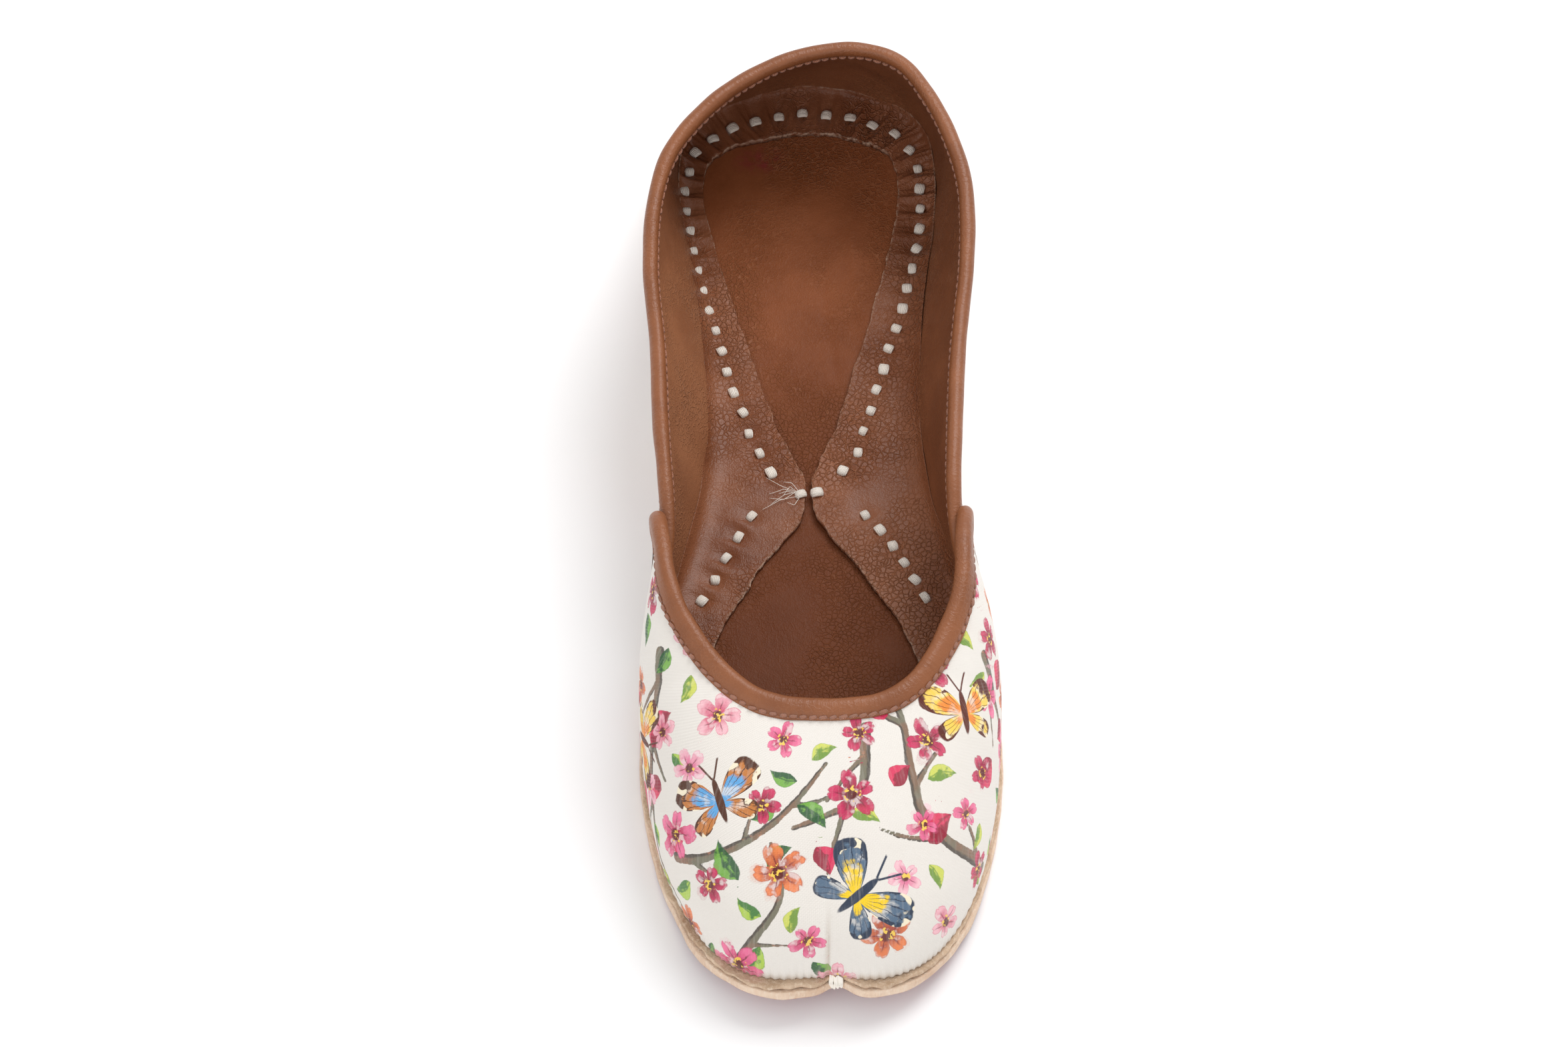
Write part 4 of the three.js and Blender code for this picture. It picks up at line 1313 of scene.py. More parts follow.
def make_wall(wall, stations, rows, top, offset):
    middle = WALL / 2 - CLOTH_SHARE * WALL
    outer, normals = wall_grid(stations, rows, top, offset, WALL / 2, cloth_relief, wall)
    inner, _ = wall_grid(stations, rows, top, offset, middle)
    height = outer[..., 2] - feather_height(outer[..., 1])
    paints = print_paints(wall, outer.reshape(-1, 3), normals.reshape(-1, 3))
    paints["cloth"] = cloth_plane(outer)
    # Near the sole: soil and painted shade where the cloth meets the sole. Along the toe seam: painted
    # shadow in its groove.
    across, front = toe_seam(stations[:, None], outer)
    soil_and_shade = bump(height, 1.6) * (0.5 + 0.5 * unevenness(outer, 4)) + front * bump(across - 0.3, 0.35)
    paints["soil_and_shade"] = soil_and_shade.clip(0, 1).ravel()
    cloth = shell_piece(wall + "_cloth", outer, inner, (printed_cotton, rough_leather), paints)
    settle(cloth, "printed_cloth")

    coarse = np.append(stations[:-1:2], stations[-1])
    back, _ = wall_grid(coarse, LINING_ROWS, top, offset, middle - LINING_GAP)
    face, _ = wall_grid(coarse, LINING_ROWS, top, offset, -WALL / 2, lining_relief, wall)
    # Painted light: the lining is lightened on the left (-X) wall, where the key lamp falls on it.
    left = smooth(-face[..., 0] / 20) * smooth(1 - np.abs(face[..., 1] - 150) / 120)
    materials = (lining_leather, lining_leather)
    lining = shell_piece(wall + "_lining", back, face, materials, {"wear_and_light": (0.9 * left).ravel()})
    settle(lining, "lining_leather")
    return cloth


def make_upper():
    vamp = make_wall("vamp", vamp_stations(VAMP_COLUMNS), VAMP_ROWS, vamp_top, vamp_offset)
    quarter_stations = np.linspace(TUCK, 1 - TUCK, QUARTER_COLUMNS)
    make_wall("quarter", quarter_stations, QUARTER_ROWS, quarter_top, quarter_offset)
    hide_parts("upper")


# Stitches, each laid by one tree of Geometry Nodes along points that carry their direction.

CAGE = {"Vertices X": 5, "Vertices Y": 4, "Vertices Z": 3}


def build_stitch_tree():
    """A rounded stitch on every point, dipping at both ends."""
    tree = bpy.data.node_groups.new("stitches", "GeometryNodeTree")
    sockets = (
        ("Points", "NodeSocketGeometry", None),
        ("Length", NUMBER, 2.0 * MM),
        ("Width", NUMBER, 2.0 * MM),
        ("Thickness", NUMBER, 0.6 * MM),
        ("Dip", NUMBER, 0.3 * MM),
        ("Unevenness", NUMBER, 0.15),
        ("Seed", "NodeSocketInt", SEED),
        ("Thread", "NodeSocketMaterial", None),
    )
    for label, kind, value in sockets:
        socket = tree.interface.new_socket(label, in_out="INPUT", socket_type=kind)
        if value is not None:
            socket.default_value = value
    tree.interface.new_socket("Stitches", in_out="OUTPUT", socket_type="NodeSocketGeometry")
    source = tree.nodes.new("NodeGroupInput")
    target = tree.nodes.new("NodeGroupOutput")
    given = {label: Wire(tree, source.outputs[label]) for label, _, _ in sockets}

    cube = add(tree, "GeometryNodeMeshCube", {"Size": (1, 1, 1), **CAGE})
    place = add(tree, "GeometryNodeInputPosition")
    ball = add(tree, "ShaderNodeVectorMath", {0: place}, operation="NORMALIZE")
    ball = add(tree, "ShaderNodeVectorMath", {0: ball, "Scale": 0.56}, operation="SCALE")
    rounded = add(tree, "ShaderNodeMix", {0: 0.55, 4: place, 5: ball}, 1, data_type="VECTOR")
    kept = {"Geometry": cube, "Name": "strand", "Value": place}
    kept = add(tree, "GeometryNodeStoreNamedAttribute", kept, data_type="FLOAT_VECTOR")
    x, y, z = parts_of(tree, rounded)
    dip = x * x * 4 * given["Dip"]
    sized = {0: x * given["Length"], 1: y * given["Width"], 2: z * given["Thickness"] - dip}
    shaped = add(tree, "ShaderNodeCombineXYZ", sized)
    stitch = add(tree, "GeometryNodeSetPosition", {"Geometry": kept, "Position": shaped})
    along = add(tree, "GeometryNodeInputNamedAttribute", {"Name": "along"}, data_type="FLOAT_VECTOR")
    normal = add(tree, "GeometryNodeInputNamedAttribute", {"Name": "normal"}, data_type="FLOAT_VECTOR")
    turned = add(tree, "FunctionNodeAxesToRotation", {0: normal, 1: along})
    least = add(tree, "ShaderNodeCombineXYZ", {axis: 1 - given["Unevenness"] for axis in range(3)})
    most = add(tree, "ShaderNodeCombineXYZ", {axis: 1 + given["Unevenness"] for axis in range(3)})
    limits = {0: least, 1: most, "Seed": given["Seed"]}
    size = add(tree, "FunctionNodeRandomValue", limits, data_type="FLOAT_VECTOR")
    laid = {"Points": given["Points"], "Instance": stitch, "Rotation": turned, "Scale": size}
    laid = add(tree, "GeometryNodeInstanceOnPoints", laid)
    real = add(tree, "GeometryNodeRealizeInstances", {"Geometry": laid})
    finished = add(tree, "GeometryNodeSetMaterial", {"Geometry": real, "Material": given["Thread"]})
    tree.links.new(finished.socket, target.inputs["Stitches"])
    return tree


stitch_tree = build_stitch_tree()


def lay_stitches(name, points, along, normals, thread, slot, seed=SEED, **sizes):
    """Stitches in millimetres on points with their directions, as a plain mesh."""
    carrier_mesh = bpy.data.meshes.new(name + "_points")
    carrier_mesh.from_pydata(((points + SHIFT) * MM).tolist(), [], [])
    for label, values in (("along", along), ("normal", normals)):
        attribute = carrier_mesh.attributes.new(label, "FLOAT_VECTOR", "POINT")
        attribute.data.foreach_set("vector", np.asarray(values, np.float32).ravel())
    carrier = bpy.data.objects.new(name + "_points", carrier_mesh)
    bpy.context.scene.collection.objects.link(carrier)
    modifier = carrier.modifiers.new("stitches", "NODES")
    modifier.node_group = stitch_tree
    values = {label.capitalize(): size * MM for label, size in sizes.items()}
    values |= {"Seed": seed, "Thread": thread}
    for socket in stitch_tree.interface.items_tree:
        if socket.name in values:
            modifier[socket.identifier] = values[socket.name]
    evaluated = carrier.evaluated_get(bpy.context.evaluated_depsgraph_get())
    mesh = bpy.data.meshes.new_from_object(evaluated)
    mesh.name = name
    bpy.data.objects.remove(carrier)
    mesh.polygons.foreach_set("use_smooth", np.ones(len(mesh.polygons), bool))
    piece = bpy.data.objects.new(name, mesh)
    bpy.context.scene.collection.objects.link(piece)
    return settle(piece, slot)


# Bindings: a strip of leather folded over the edge.

BINDING_STATIONS = 560
BINDING_NEAR = WALL / 2 + 0.05
FOLD_RADIUS = 2.05
FOLD_STEPS = 13
THREAD_PITCH = 2.2
SLIM_TOP = 0.86
SLIM_SPAN = 0.25
SLIM_SHARE = 0.95
THREAD_OUTS = (("outside", "groove_out", 1.42), ("inside", "groove_in", -1.6))
THREAD_SIZES = {"length": 1.9, "width": 0.85, "thickness": 0.7, "dip": 0.2}
BINDING_COLUMNS = "outside inside groove_out groove_in swell_in".split()
VAMP_BINDING = dict(zip(BINDING_COLUMNS, (3.7, 3.9, 3.1, 2.9, 2.03)))
QUARTER_BINDING = dict(zip(BINDING_COLUMNS, (4.4, 7.4, 3.2, 2.5, 1.6)))


def binding_profile(outside, inside, groove_out, groove_in, swell_in):
    """Depth below the edge and distance out, from the outer leg's end over the fold and back."""
    near = BINDING_NEAR
    fold = []
    for angle in np.linspace(0.15, math.pi - 0.15, FOLD_STEPS):
        side = math.cos(angle)
        fold.append((0.1 - FOLD_RADIUS * math.sin(angle), side * (FOLD_RADIUS if side > 0 else swell_in)))
    outer = [(outside, near), (outside, 1.12), (outside - 0.2, 1.34), (groove_out + 0.3, 1.36)]
    outer += [(groove_out, 1.1), (groove_out - 0.35, 1.5), (groove_out - 0.9, 1.86), (0.45, 2.03)]
    inner = [(0.45, -swell_in), (groove_in - 1.1, -0.94 * swell_in)]
    inner += [(groove_in - 0.45, -0.8 * swell_in), (groove_in, -1.1), (groove_in + 0.3, -1.36)]
    inner += [(inside - 0.3, -1.28), (inside, -1.02), (inside, -near)]
    back = [(inside * 0.5, -near), (0, -near), (0, near), (outside * 0.5, near)]
    return outer + fold + inner + back


def square_in(u, v, along, distance, offset):
    """The place a distance in from an edge point, square to the edge."""
    step = SMALL_TURN
    zero = np.zeros_like(u)
    around = (wall_point(u + step, v, zero, offset) - wall_point(u - step, v, zero, offset)) / (2 * step)
    climb = (wall_point(u, v + step, zero, offset) - wall_point(u, v - step, zero, offset)) / (2 * step)
    inward = unit(np.cross(along, form_normal(u, v)))
    a, b, c = (around * around).sum(-1), (around * climb).sum(-1), (climb * climb).sum(-1)
    p, q = (around * inward).sum(-1) * distance, (climb * inward).sum(-1) * distance
    scale = a * c - b * b
    return u + (c * p - b * q) / scale, v + (a * q - b * p) / scale


def even_path(u, v, offset, count):
    """Evenly spaced places along a path on a wall, and how far along each is."""
    points = wall_point(u, v, np.zeros_like(u), offset)
    length = np.concatenate([[0], np.cumsum(np.linalg.norm(np.diff(points, axis=0), axis=1))])
    at = np.linspace(0, length[-1], count)
    return np.interp(at, length, u), np.interp(at, length, v), at


def vamp_path(count):
    rear = np.linspace(REAR_END, 1 - CORNER_CLIMB, 30)[:-1]
    stations = vamp_stations(400)
    u = np.concatenate([np.full(len(rear), -SEAM), stations, np.full(len(rear), SEAM)])
    v = np.concatenate([rear, vamp_top(stations), rear[::-1]])
    return even_path(u, v, vamp_offset, count)


def quarter_path(count):
    u = np.linspace(TUCK, 1 - TUCK, 800)
    return even_path(u, quarter_top(u), quarter_offset, count)


def slimmed(u, v, out):
    """How far out a binding lies; it thins down the rear edge of the vamp."""
    rear = smooth((SLIM_TOP - v) / SLIM_SPAN) * (from_toe(u) > SEAM - CORNER_TURN) * (v < SLIM_TOP)
    return np.sign(out) * (BINDING_NEAR + (abs(out) - BINDING_NEAR) * (1 - SLIM_SHARE * rear))


def binding_row(path, offset, depth, out):
    """One line of a binding along its whole edge."""
    u, v, _ = path
    if offset is vamp_offset and abs(out) > BINDING_NEAR + 0.01:
        out = slimmed(u, v, out)[:, None]
    else:
        out = np.full(u.shape, float(out))[:, None]
    edge = wall_point(u, v, np.zeros_like(u), offset)
    along = unit(np.gradient(edge, axis=0))
    normal = form_normal(u, v)
    if depth <= 0:
        return edge + normal * out - unit(np.cross(normal, along)) * depth
    u, v = square_in(u, v, along, depth, offset)
    return wall_point(u, v, out[:, 0], offset)


def make_binding(name, node, path_of, offset, sizes):
    path = path_of(BINDING_STATIONS)
    profile = binding_profile(**sizes)
    sections = np.stack([binding_row(path, offset, depth, out) for depth, out in profile], 1)
    rows, columns = sections.shape[:2]
    centre = sections.mean(1, keepdims=True)
    swell = 1 + 0.035 * unevenness(sections, 7) + 0.03 * unevenness(sections, 22)
    sections = centre + (sections - centre) * swell[..., None]
    along = np.broadcast_to(path[2][:, None], (rows, columns))
    around = np.broadcast_to(np.arange(columns) * 0.15, (rows, columns))
    paints = {"path": stack(along * MM, around * MM, 0, 1).reshape(-1, 4)}
    faces = sweep_faces(rows, columns)
    piece = make_piece(name, sections.reshape(-1, 3), faces, (binding_leather,), paints=paints)
    settle(piece, "binding_leather", node)
    make_binding_thread(name, path_of, offset, sizes)


def make_binding_thread(name, path_of, offset, sizes):
    """Thread along the groove, outside and inside."""
    total = path_of(40)[2][-1]
    path = path_of(round(total / THREAD_PITCH))
    chance = np.random.default_rng(SEED)
    for face, groove, out in THREAD_OUTS:
        points = binding_row(path, offset, sizes[groove], out)
        normals = form_normal(path[0], path[1]) * np.sign(out)
        along = unit(np.gradient(points, axis=0))
        lean = unit(np.cross(normals, along)) * chance.normal(0.16, 0.06, len(points))[:, None]
        label = f"{name}_thread_{face}"
        shown = (from_toe(path[0]) < SEAM - CORNER_TURN / 50) | (path[1] > SLIM_TOP)
        laid = (points[shown], unit(along + lean)[shown], normals[shown])
        lay_stitches(label, *laid, copper_thread, "binding_leather", **THREAD_SIZES)


# The sole and what lies on it.

SOLE_STATIONS = 840
SOLE_STITCH_INSET = 5.2
SOLE_STITCH_PITCH = 6.2
SOLE_STITCH_SIZES = {"length": 3.4, "width": 1.9, "thickness": 0.7, "dip": 0.35}
SOLE_STITCH_LIFT = 0.62
PIT_DEPTH = 0.75
EDGE_INSETS = (1.2, 2.4, 3.4, 4.0, 4.6, 5.2, 5.8, 6.4, 7.2, 8.4)
BREAST = HEEL_BREAST * SOLE_LENGTH
IN_PLAN = np.array([1, 1, 0])


def sole_edge(u, inset):
    points = sole_ring(u) - outward(u) * inset
    across = (points[..., 0] - NOTCH_SHIFT) / (NOTCH_WIDTH / 2)
    front = points[..., 1] < SPINE_START * SOLE_LENGTH
    points[..., 1] += np.where(front, NOTCH_DEPTH * np.exp(-across * across), 0)
    return points


def sole_spine(points):
    return stack(0, np.clip(points[..., 1] / SOLE_LENGTH, SPINE_START, SPINE_END) * SOLE_LENGTH, 0)


def layer_rings(outline_at, bottom, top, rounding, spine_of, steps, insets=()):
    """Rings of a flat layer: from the middle of its underside, round its edge, to the middle of its top."""
    inner = outline_at(insets[-1] if insets else rounding)
    centre = spine_of(outline_at(0))
    flat = [centre + (inner - centre) * share for share in np.linspace(0, 1, steps)]
    flat += [outline_at(inset) for inset in insets[-2::-1]]
    quarter_turn = np.linspace(0, math.pi / 2, 4)
    rings = [(ring, 0, 0) for ring in flat]
    for angle in quarter_turn:
        rings.append((outline_at(rounding * (1 - math.sin(angle))), 0, rounding * (1 - math.cos(angle))))
    rings += [(outline_at(0), share, 0) for share in (0.3, 0.5, 0.7)]
    for angle in quarter_turn:
        rings.append((outline_at(rounding * (1 - math.cos(angle))), 1, -rounding * (1 - math.sin(angle))))
    rings += [(ring, 1, 0) for ring in flat[::-1]]
    made = []
    for ring, share, up in rings:
        points = ring.copy()
        low, high = bottom(points[..., 1]), top(points[..., 1])
        points[..., 2] = low + (high - low) * share + up
        made.append(points)
    return np.stack(made, 1), len(flat)


def make_layer(name, node, slot, rings, materials, edge_from=None, paints=None):
    rows, columns = rings.shape[:2]
    slots = None
    if edge_from is not None:
        ring_slots = np.zeros(columns - 1, int)
        ring_slots[edge_from:] = 1
        slots = np.tile(ring_slots, rows)
    faces = grid_faces(rows, columns, wrap_rows=True)
    piece = make_piece(name, rings.reshape(-1, 3), faces, materials, slots, paints, weld=True)
    return settle(piece, slot, node)


def edge_wobble(rings, flat, amount, size):
    """A hand-cut edge: in and out a little along its length."""
    weight = np.zeros(rings.shape[1])
    weight[flat - 1 : rings.shape[1] - flat + 1] = 1
    away = unit(stack(rings[..., 0], rings[..., 1] - sole_spine(rings)[..., 1], 0))
    wobble = -amount * (0.5 + 0.5 * unevenness(rings, size)) * weight
    return rings + away * wobble[..., None]


def sole_stitch_points():
    path = sole_edge(np.linspace(0.016, 0.984, 900), SOLE_STITCH_INSET)
    return evenly(path, SOLE_STITCH_PITCH)


def stitched_underside(rings, flat):
    """Leather pulled in round each stitch and along the line of stitching, and a little uneven."""
    points = rings.copy()
    low = points[:, :flat]
    plan = low * IN_PLAN
    stitches = sole_stitch_points() * IN_PLAN
    line, along = path_distance(plan, stitches)
    pitch = float(np.linalg.norm(stitches[1] - stitches[0]))
    to_stitch = np.abs((along / pitch + 0.5) % 1 - 0.5) * pitch
    near = bump(np.hypot(line, to_stitch), 2.1)
    low[..., 2] += PIT_DEPTH * near + 0.18 * bump(line, 1.4)
    low[..., 2] += np.maximum(0, 0.05 * (2 + unevenness(low, 9) + unevenness(low, 3)))
    return points


def dyed_rim(rings, flat):
    """Red dye that has run a little over the lower edge."""
    dyed = np.zeros(rings.shape[:2])
    dyed[:, flat + 1 : flat + 3] = 0.8
    return {"dyed": dyed.ravel()}


def make_sole():
    u = np.linspace(0, 1, SOLE_STATIONS, endpoint=False)
    materials = (red_leather, cut_leather)
    rings, flat = layer_rings(
        lambda inset: sole_edge(u, inset), outsole_bottom, outsole_top, 0.5, sole_spine, 12, EDGE_INSETS
    )
    rings = stitched_underside(edge_wobble(rings, flat, 0.3, 5), flat)
    make_layer("sole_leather", "outsole", "sole_leather", rings, materials, flat + 1, dyed_rim(rings, flat))

    u = u[::2]
    rings, flat = layer_rings(
        lambda inset: sole_edge(u, inset + SOLE_LEDGE / 4),
        lambda s: outsole_top(s) + CLEARANCE,
        midsole_top,
        0.3,
        sole_spine,
        5,
    )
    make_layer("middle_layer", "midsole", "raw_leather", edge_wobble(rings, flat, 0.7, 3), (rough_leather,))


def make_heel_piece():
    """One more layer of red leather under the heel, cut straight across in front."""
    edge = sole_edge(np.linspace(0, 1, SOLE_STATIONS, endpoint=False), 0)
    back = edge[edge[:, 1] > BREAST + 0.5]
    across = np.linspace(back[-1, 0], back[0, 0], 60)[1:-1]
    base = np.concatenate([back, stack(across, BREAST, 0)])
    middle = np.array([0, (BREAST + SOLE_LENGTH) / 2, 0])
    rings, flat = layer_rings(
        lambda inset: base + unit(middle - base) * inset,
        lambda s: 0 * s,
        lambda s: 0 * s + LIFT_THICKNESS,
        0.5,
        lambda points: np.broadcast_to(middle, points.shape),
        8,
        EDGE_INSETS,
    )
    rings = stitched_underside(rings, flat)
    materials = (red_leather, cut_leather)
    make_layer("heel_piece", "heel_lift", "sole_leather", rings, materials, flat + 1, dyed_rim(rings, flat))


def make_sole_stitches():
    points = sole_stitch_points()
    on_heel = points[:, 1] > BREAST
    points[:, 2] = np.where(on_heel, 0, outsole_bottom(points[:, 1])) + SOLE_STITCH_LIFT
    along = unit(np.gradient(points, axis=0) * IN_PLAN)
    normals = np.tile([0.0, 0, -1], (len(points), 1))
    clear = np.abs(points[:, 1] - BREAST) > 2.5
    chance = np.random.default_rng(SEED + 1)
    lean = np.cross(normals, along) * chance.normal(0, 0.1, len(points))[:, None]
    laid = (points[clear], unit(along + lean)[clear], normals[clear])
    lay_stitches("sole_stitches", *laid, cotton_cord, "printed_cloth", **SOLE_STITCH_SIZES)


FOOTBED_STEPS = 30
FOOTBED_CREASES = (
    # from x and s, to x and s, width and depth
    (-8, 100, 14, 104, 1.1, 0.18),
    (-20, 84, 10, 78, 1.5, -0.2),
    (10, 215, 14, 180, 1.2, 0.14),
    (2, 205, 6, 172, 1.3, -0.14),
    (-12, 196, 10, 190, 1.6, -0.16),
)


def insole_edge(u):
    return feather_ring(u) - outward(u) * (WALL / 2 + CLEARANCE)


def make_footbed():
    u = np.linspace(0, 1, SOLE_STATIONS // 2, endpoint=False)
    rings, flat = layer_rings(
        lambda inset: insole_edge(u) - outward(u) * inset,
        feather_height,
        insole_top,
        0.3,
        sole_spine,
        FOOTBED_STEPS,
    )
    top = rings[:, -flat:]
    hollow = 0.14 * unevenness(top, 24) + 0.05 * unevenness(top, 8)
    for x, s, to_x, to_s, width, depth in FOOTBED_CREASES:
        start, end = np.array([x, s, 0.0]), np.array([to_x, to_s, 0.0])
        middle = (start + end) / 2 + np.array([0, 2.0, 0])
        distance, _ = path_distance(top * IN_PLAN, np.array([start, middle, end]))
        hollow = hollow + depth * bump(distance, width)
    top[..., 2] += np.clip(hollow, -0.35, 0.22) * smooth(np.linspace(0, 2.5, flat))
    make_layer("footbed", "insole", "insole_leather", rings, (footbed_leather,))


# The lining's margin: it leaves the wall, turns over the footbed and ends in a raw, gathered edge.

MARGIN_STATIONS = 1000
COVE_HEIGHT = 3.4
COVE_REACH = 3.4
COVE_COLUMNS = 12
FLAT_COLUMNS = 26
HEEL_STITCH_INSET = 7
FORE_STITCH_INSET = 10.5
FORE_STITCH_START = 108
STITCH_SHARE = 0.52
FOOTBED_STITCH_PITCH = 6.1
FOOTBED_STITCH_SIZES = {"length": 2.9, "width": 2.3, "thickness": 1.0, "dip": 0.55}
CROSSING = 138
CROSSING_CLEAR = 2.5
RIDGE_HEIGHT, VALLEY_DEPTH, FINE_HEIGHT, PIT_SINK = 0.7, 0.25, 0.17, 0.62


def margin_top(s):
    return insole_top(s) + CLEARANCE + MARGIN_THICKNESS


edge_ring = closed_curve(
    stack(SIDE * column("edge_half") * BALL_WIDTH / 2, column("edge_along") * SOLE_LENGTH, 0)
)


def margin_tip(u):
    """The raw edge of the turned-in lining, which meets itself at the waist."""
    points = edge_ring(u)
    side = np.where(np.mod(u, 1.0) < 0.5, 1.0, -1.0)
    turn = from_toe(u)
    off_centre = (turn > section_at("ball")) & (turn < section_at("heel_corner"))
    apart = side * np.maximum(MARGIN_SLIT / 2, side * points[..., 0])
    points[..., 0] = np.where(off_centre, apart, points[..., 0])
    share = smooth((turn - section_at("ball_front")) * HALF_STEPS) * smooth((0.5 - turn) * HALF_STEPS)
    points[..., 0] += MARGIN_SHIFT * share
    points[..., 2] = margin_top(points[..., 1])
    return points


def tip_outward(u):
    step = 2e-3
    along = margin_tip(u + step) - margin_tip(u - step)
    return unit(stack(along[..., 1], -along[..., 0], 0))


def stitch_lines():
    """The lines of cotton stitches: round the heel, and along each side of the forefoot."""
    waist, fore = section_at("waist"), section_at("ball") + 0.01
    clear = 0.016
    heel = np.linspace(waist + clear, 1 - waist - clear, 200)
    right = np.linspace(fore, waist - clear, 90)
    lines = ((heel, HEEL_STITCH_INSET), (right, FORE_STITCH_INSET), (1 - right, FORE_STITCH_INSET))
    made = []
    for turns, inset in lines:
        span = np.linalg.norm((margin_tip(turns) - insole_edge(turns)) * IN_PLAN, axis=1)
        inset = np.minimum(inset, STITCH_SHARE * span)
        path = margin_tip(turns) + tip_outward(turns) * inset[:, None]
        path = path[(path[:, 1] > FORE_STITCH_START) & (np.abs(path[:, 1] - CROSSING) > CROSSING_CLEAR)]
        path[:, 2] = margin_top(path[:, 1])
        made.append(evenly(path, FOOTBED_STITCH_PITCH))
    return made


def pucker(points, lines):
    """Folds drawn up by the thread: pits at the stitches and ridges between them."""
    total = np.zeros(points.shape[:-1])
    for line in lines:
        flat_line = line * IN_PLAN
        pitch = float(np.linalg.norm(flat_line[1] - flat_line[0]))
        distance, along = path_distance(points * IN_PLAN, flat_line)
        phase = 2 * math.pi * along / pitch
        bend = 1.25 * smooth((points[..., 1] - 195) / 30) + 0.5
        ridges = bump(distance, 5.2) * (0.5 - 0.5 * np.cos(phase)) ** 1.5
        fine = np.sin(phase * 3 + 4 * unevenness(points, 9)) * bump(distance, 6)
        pits = bump(distance, 2.0) * (0.5 + 0.5 * np.cos(phase))
        valley = VALLEY_DEPTH * bump(distance, 4)
        total += bend * (RIDGE_HEIGHT * ridges - valley + FINE_HEIGHT * fine) - PIT_SINK * pits
    return total


def beside_wall(u, height, gap):
    """Points on the wall's inner face at a height, a gap away from it."""
    low, high = np.zeros(len(u)), np.full(len(u), 0.7)
    for _ in range(18):
        v = (low + high) / 2
        points = wall_point(u, v, np.full(len(u), -WALL / 2 - gap), quarter_offset)
        below = points[:, 2] < height
        low, high = np.where(below, v, low), np.where(below, high, v)
    return points


def make_margin(lines):
    u = np.linspace(0, 1, MARGIN_STATIONS, endpoint=False)
    foot, tip = insole_edge(u), margin_tip(u)
    span = np.linalg.norm((tip - foot) * IN_PLAN, axis=1)
    reach = np.minimum(COVE_REACH, span * 0.45)
    level = margin_top(foot[:, 1])
    heel = smooth((foot[:, 1] - 200) / 25)

    def inward(distance, down=0.0):
        points = foot + (tip - foot) * (distance / span)[:, None]
        points[:, 2] = margin_top(points[:, 1]) - down
        return points

    height = COVE_HEIGHT * (1 - 0.4 * heel) + 0.4 * unevenness(foot, 9)
    top = beside_wall(u, level + height, 0.02)
    lip = beside_wall(u, level + height - 0.4, 0.1)
    shoulder = beside_wall(u, level + height * 0.8, 0.3)
    bend = beside_wall(u, level + 0.3, CLEARANCE)
    flat = inward(reach)
    surface = [top, lip + (shoulder - lip) * (0.3 * heel)[:, None]]
    for t in np.linspace(0, 1, COVE_COLUMNS)[1:]:
        surface.append((1 - t) ** 2 * shoulder + 2 * t * (1 - t) * bend + t * t * flat)
    for t in np.linspace(0, 1, FLAT_COLUMNS)[1:]:
        surface.append(inward(reach + (span - 0.35 - reach) * (1 - (1 - t) ** 1.3)))
    surface = np.stack(surface, 1)
    columns = surface.shape[1]
    fade = smooth(np.arange(columns) / 3)
    surface[..., 2] += (pucker(surface, lines) + 0.06 * unevenness(surface, 6)) * fade
    ragged = unit((tip - foot) * IN_PLAN) * (0.25 * unevenness(tip, 2.2) + 0.3 * unevenness(tip, 7))[:, None]
    for back, share in enumerate((1, 0.7, 0.3)):
        surface[:, columns - 1 - back] += ragged * share
    surface[..., 2] = np.maximum(surface[..., 2], insole_top(surface[..., 1]) + 0.35)

    drop, under = surface[:, -1].copy(), surface[:, -1].copy()
    drop[:, 2] = np.maximum(drop[:, 2] - 0.6, insole_top(drop[:, 1]) + 0.12)
    under[:, 2] = insole_top(under[:, 1]) + 0.1
    root = inward(span * 0.3, MARGIN_THICKNESS + 0.1)
    corner = beside_wall(u, level - MARGIN_THICKNESS - 0.05, 0.1)
    behind = beside_wall(u, level + height * 0.6, -0.25)
    sections = np.concatenate([surface, np.stack([drop, under, root, corner, behind], 1)], 1)
    raw = np.zeros(sections.shape[:2])
    patchy = 0.35 + 0.65 * smooth(unevenness(tip, 22) + 0.4 + heel)
    raw[:, columns - 1 : columns + 2] = patchy[:, None]
    raw[:, columns - 3 : columns - 1] = 0.2 * patchy[:, None]
    raw[:, 0] = 0.6 * heel * patchy
    raw[:, 1] = 0.3 * heel * patchy
    wear_and_light = (0.35 + 0.3 * unevenness(sections, 14)).clip(0, 1)
    rows, columns = sections.shape[:2]
    faces = grid_faces(rows, columns, wrap_rows=True, wrap_columns=True)
    paints = {"raw": raw.ravel(), "wear_and_light": wear_and_light.ravel()}
    piece = make_piece("lining_turned_in", sections.reshape(-1, 3), faces, (margin_leather,), paints=paints)
    settle(piece, "lining_leather", "lining_margin")


def make_footbed_stitches(lines):
    crossing_x = np.array([-3.4, 0.6])
    crossing = stack(crossing_x, CROSSING + 0.1 * crossing_x, margin_top(CROSSING) + 0.45)
    points = np.concatenate([*lines, crossing])
    along = np.concatenate([unit(np.gradient(line, axis=0)) for line in (*lines, crossing)])
    points[:, 2] += 0.05
    chance = np.random.default_rng(SEED + 2)
    sideways = np.cross([0, 0, 1], along)
    points += sideways * chance.normal(0, 0.25, len(points))[:, None]
    along = unit(along + sideways * chance.normal(0, 0.2, len(points))[:, None])
    normals = np.tile([0.0, 0, 1], (len(points), 1))
    laid = (points, along, normals, cotton_cord, "printed_cloth")
    lay_stitches("footbed_stitches", *laid, seed=SEED + 3, **FOOTBED_STITCH_SIZES)


# Loose cotton: the bunch that closes the toe over the notch, and frayed ends.

STRAND_SIDES = 7


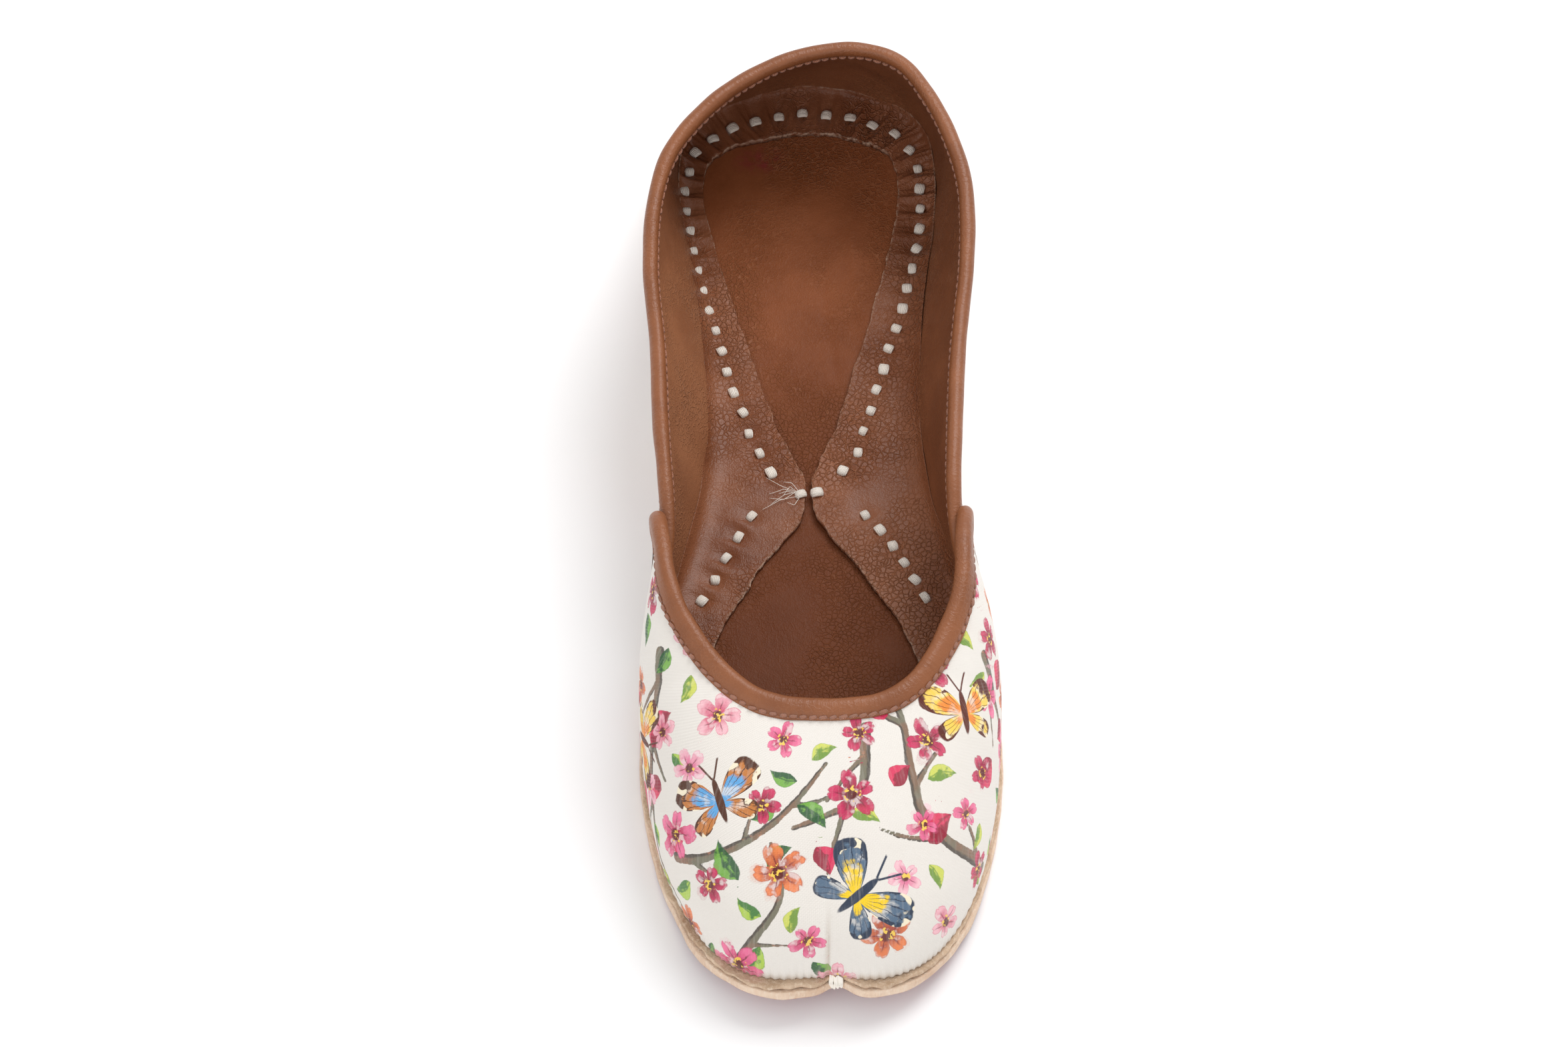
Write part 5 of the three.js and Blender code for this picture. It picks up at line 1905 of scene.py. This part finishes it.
def strand(path, radius):
    """The sections of a thin tube along a path, thinner at its ends."""
    path = evenly(np.asarray(path, float), 0.5)
    along = unit(np.gradient(path, axis=0))
    side = unit(np.cross(along, [0.3, 0.2, 1.0]))
    up = np.cross(side, along)
    taper = radius * (0.45 + 0.55 * np.sin(np.linspace(0.15, math.pi - 0.15, len(path))))
    angles = np.linspace(0, 2 * math.pi, STRAND_SIDES, endpoint=False)
    ring = side[:, None] * np.cos(angles)[None, :, None] + up[:, None] * np.sin(angles)[None, :, None]
    return path[:, None] + ring * taper[:, None, None]


def make_strands(name, strands):
    vertices, faces, count = [], [], 0
    for sections in strands:
        rows, columns = sections.shape[:2]
        faces += sweep_faces(rows, columns, count)
        vertices.append(sections.reshape(-1, 3))
        count += rows * columns
    settle(make_piece(name, np.concatenate(vertices), faces, (cotton_cord,)), "printed_cloth")


def make_toe_bunch():
    """Strands of cotton that come out of the seam and go down through the notch."""
    chance = np.random.default_rng(SEED + 4)
    edge = NOTCH_DEPTH + SECTIONS[0][2] * SOLE_LENGTH
    course = (
        # share of the bunch's width, how far behind the sole's edge, and height
        (0.5, 2.6, feather_height(edge) + 0.8),
        (0.9, 0.9, midsole_top(edge) + 0.8),
        (1.0, -0.6, outsole_top(edge) + 0.2),
        (0.9, -0.5, outsole_bottom(edge) + 1.2),
        (0.7, 0.9, outsole_bottom(edge) + 0.6),
    )
    strands = []
    for x in np.linspace(-1.3, 1.3, 7):
        loose = chance.normal(0, 0.12, (len(course), 3))
        path = [(NOTCH_SHIFT - 0.4 + x * share, edge + behind, height) for share, behind, height in course]
        strands.append(strand(np.array(path) + loose, 0.36))
    make_strands("toe_bunch", strands)


def make_loose_fibres():
    """Fine frayed fibres by the crossing stitch."""
    chance = np.random.default_rng(SEED + 5)
    strands = []
    for _ in range(9):
        start = np.array([-4 + chance.normal(0, 0.6), CROSSING + chance.normal(0, 0.8), 0])
        reach, turn = chance.uniform(3, 10), math.pi + chance.normal(0, 0.35)
        end = start + np.array([reach * math.cos(turn), reach * math.sin(turn), 0])
        middle = (start + end) / 2 + np.array([0, chance.normal(0, 1.0), 0.5])
        path = np.array([start, middle, end])
        path[:, 2] += margin_top(path[:, 1]) + 0.3
        strands.append(strand(path, 0.06))
    make_strands("loose_fibres", strands)


make_camera()
make_lights()
make_floor()
make_upper()
make_binding("vamp_edging", "vamp_binding", vamp_path, vamp_offset, VAMP_BINDING)
make_binding("collar_edging", "quarter_binding", quarter_path, quarter_offset, QUARTER_BINDING)
make_sole()
make_heel_piece()
make_sole_stitches()
make_footbed()
footbed_lines = stitch_lines()
make_margin(footbed_lines)
make_footbed_stitches(footbed_lines)
make_toe_bunch()
make_loose_fibres()
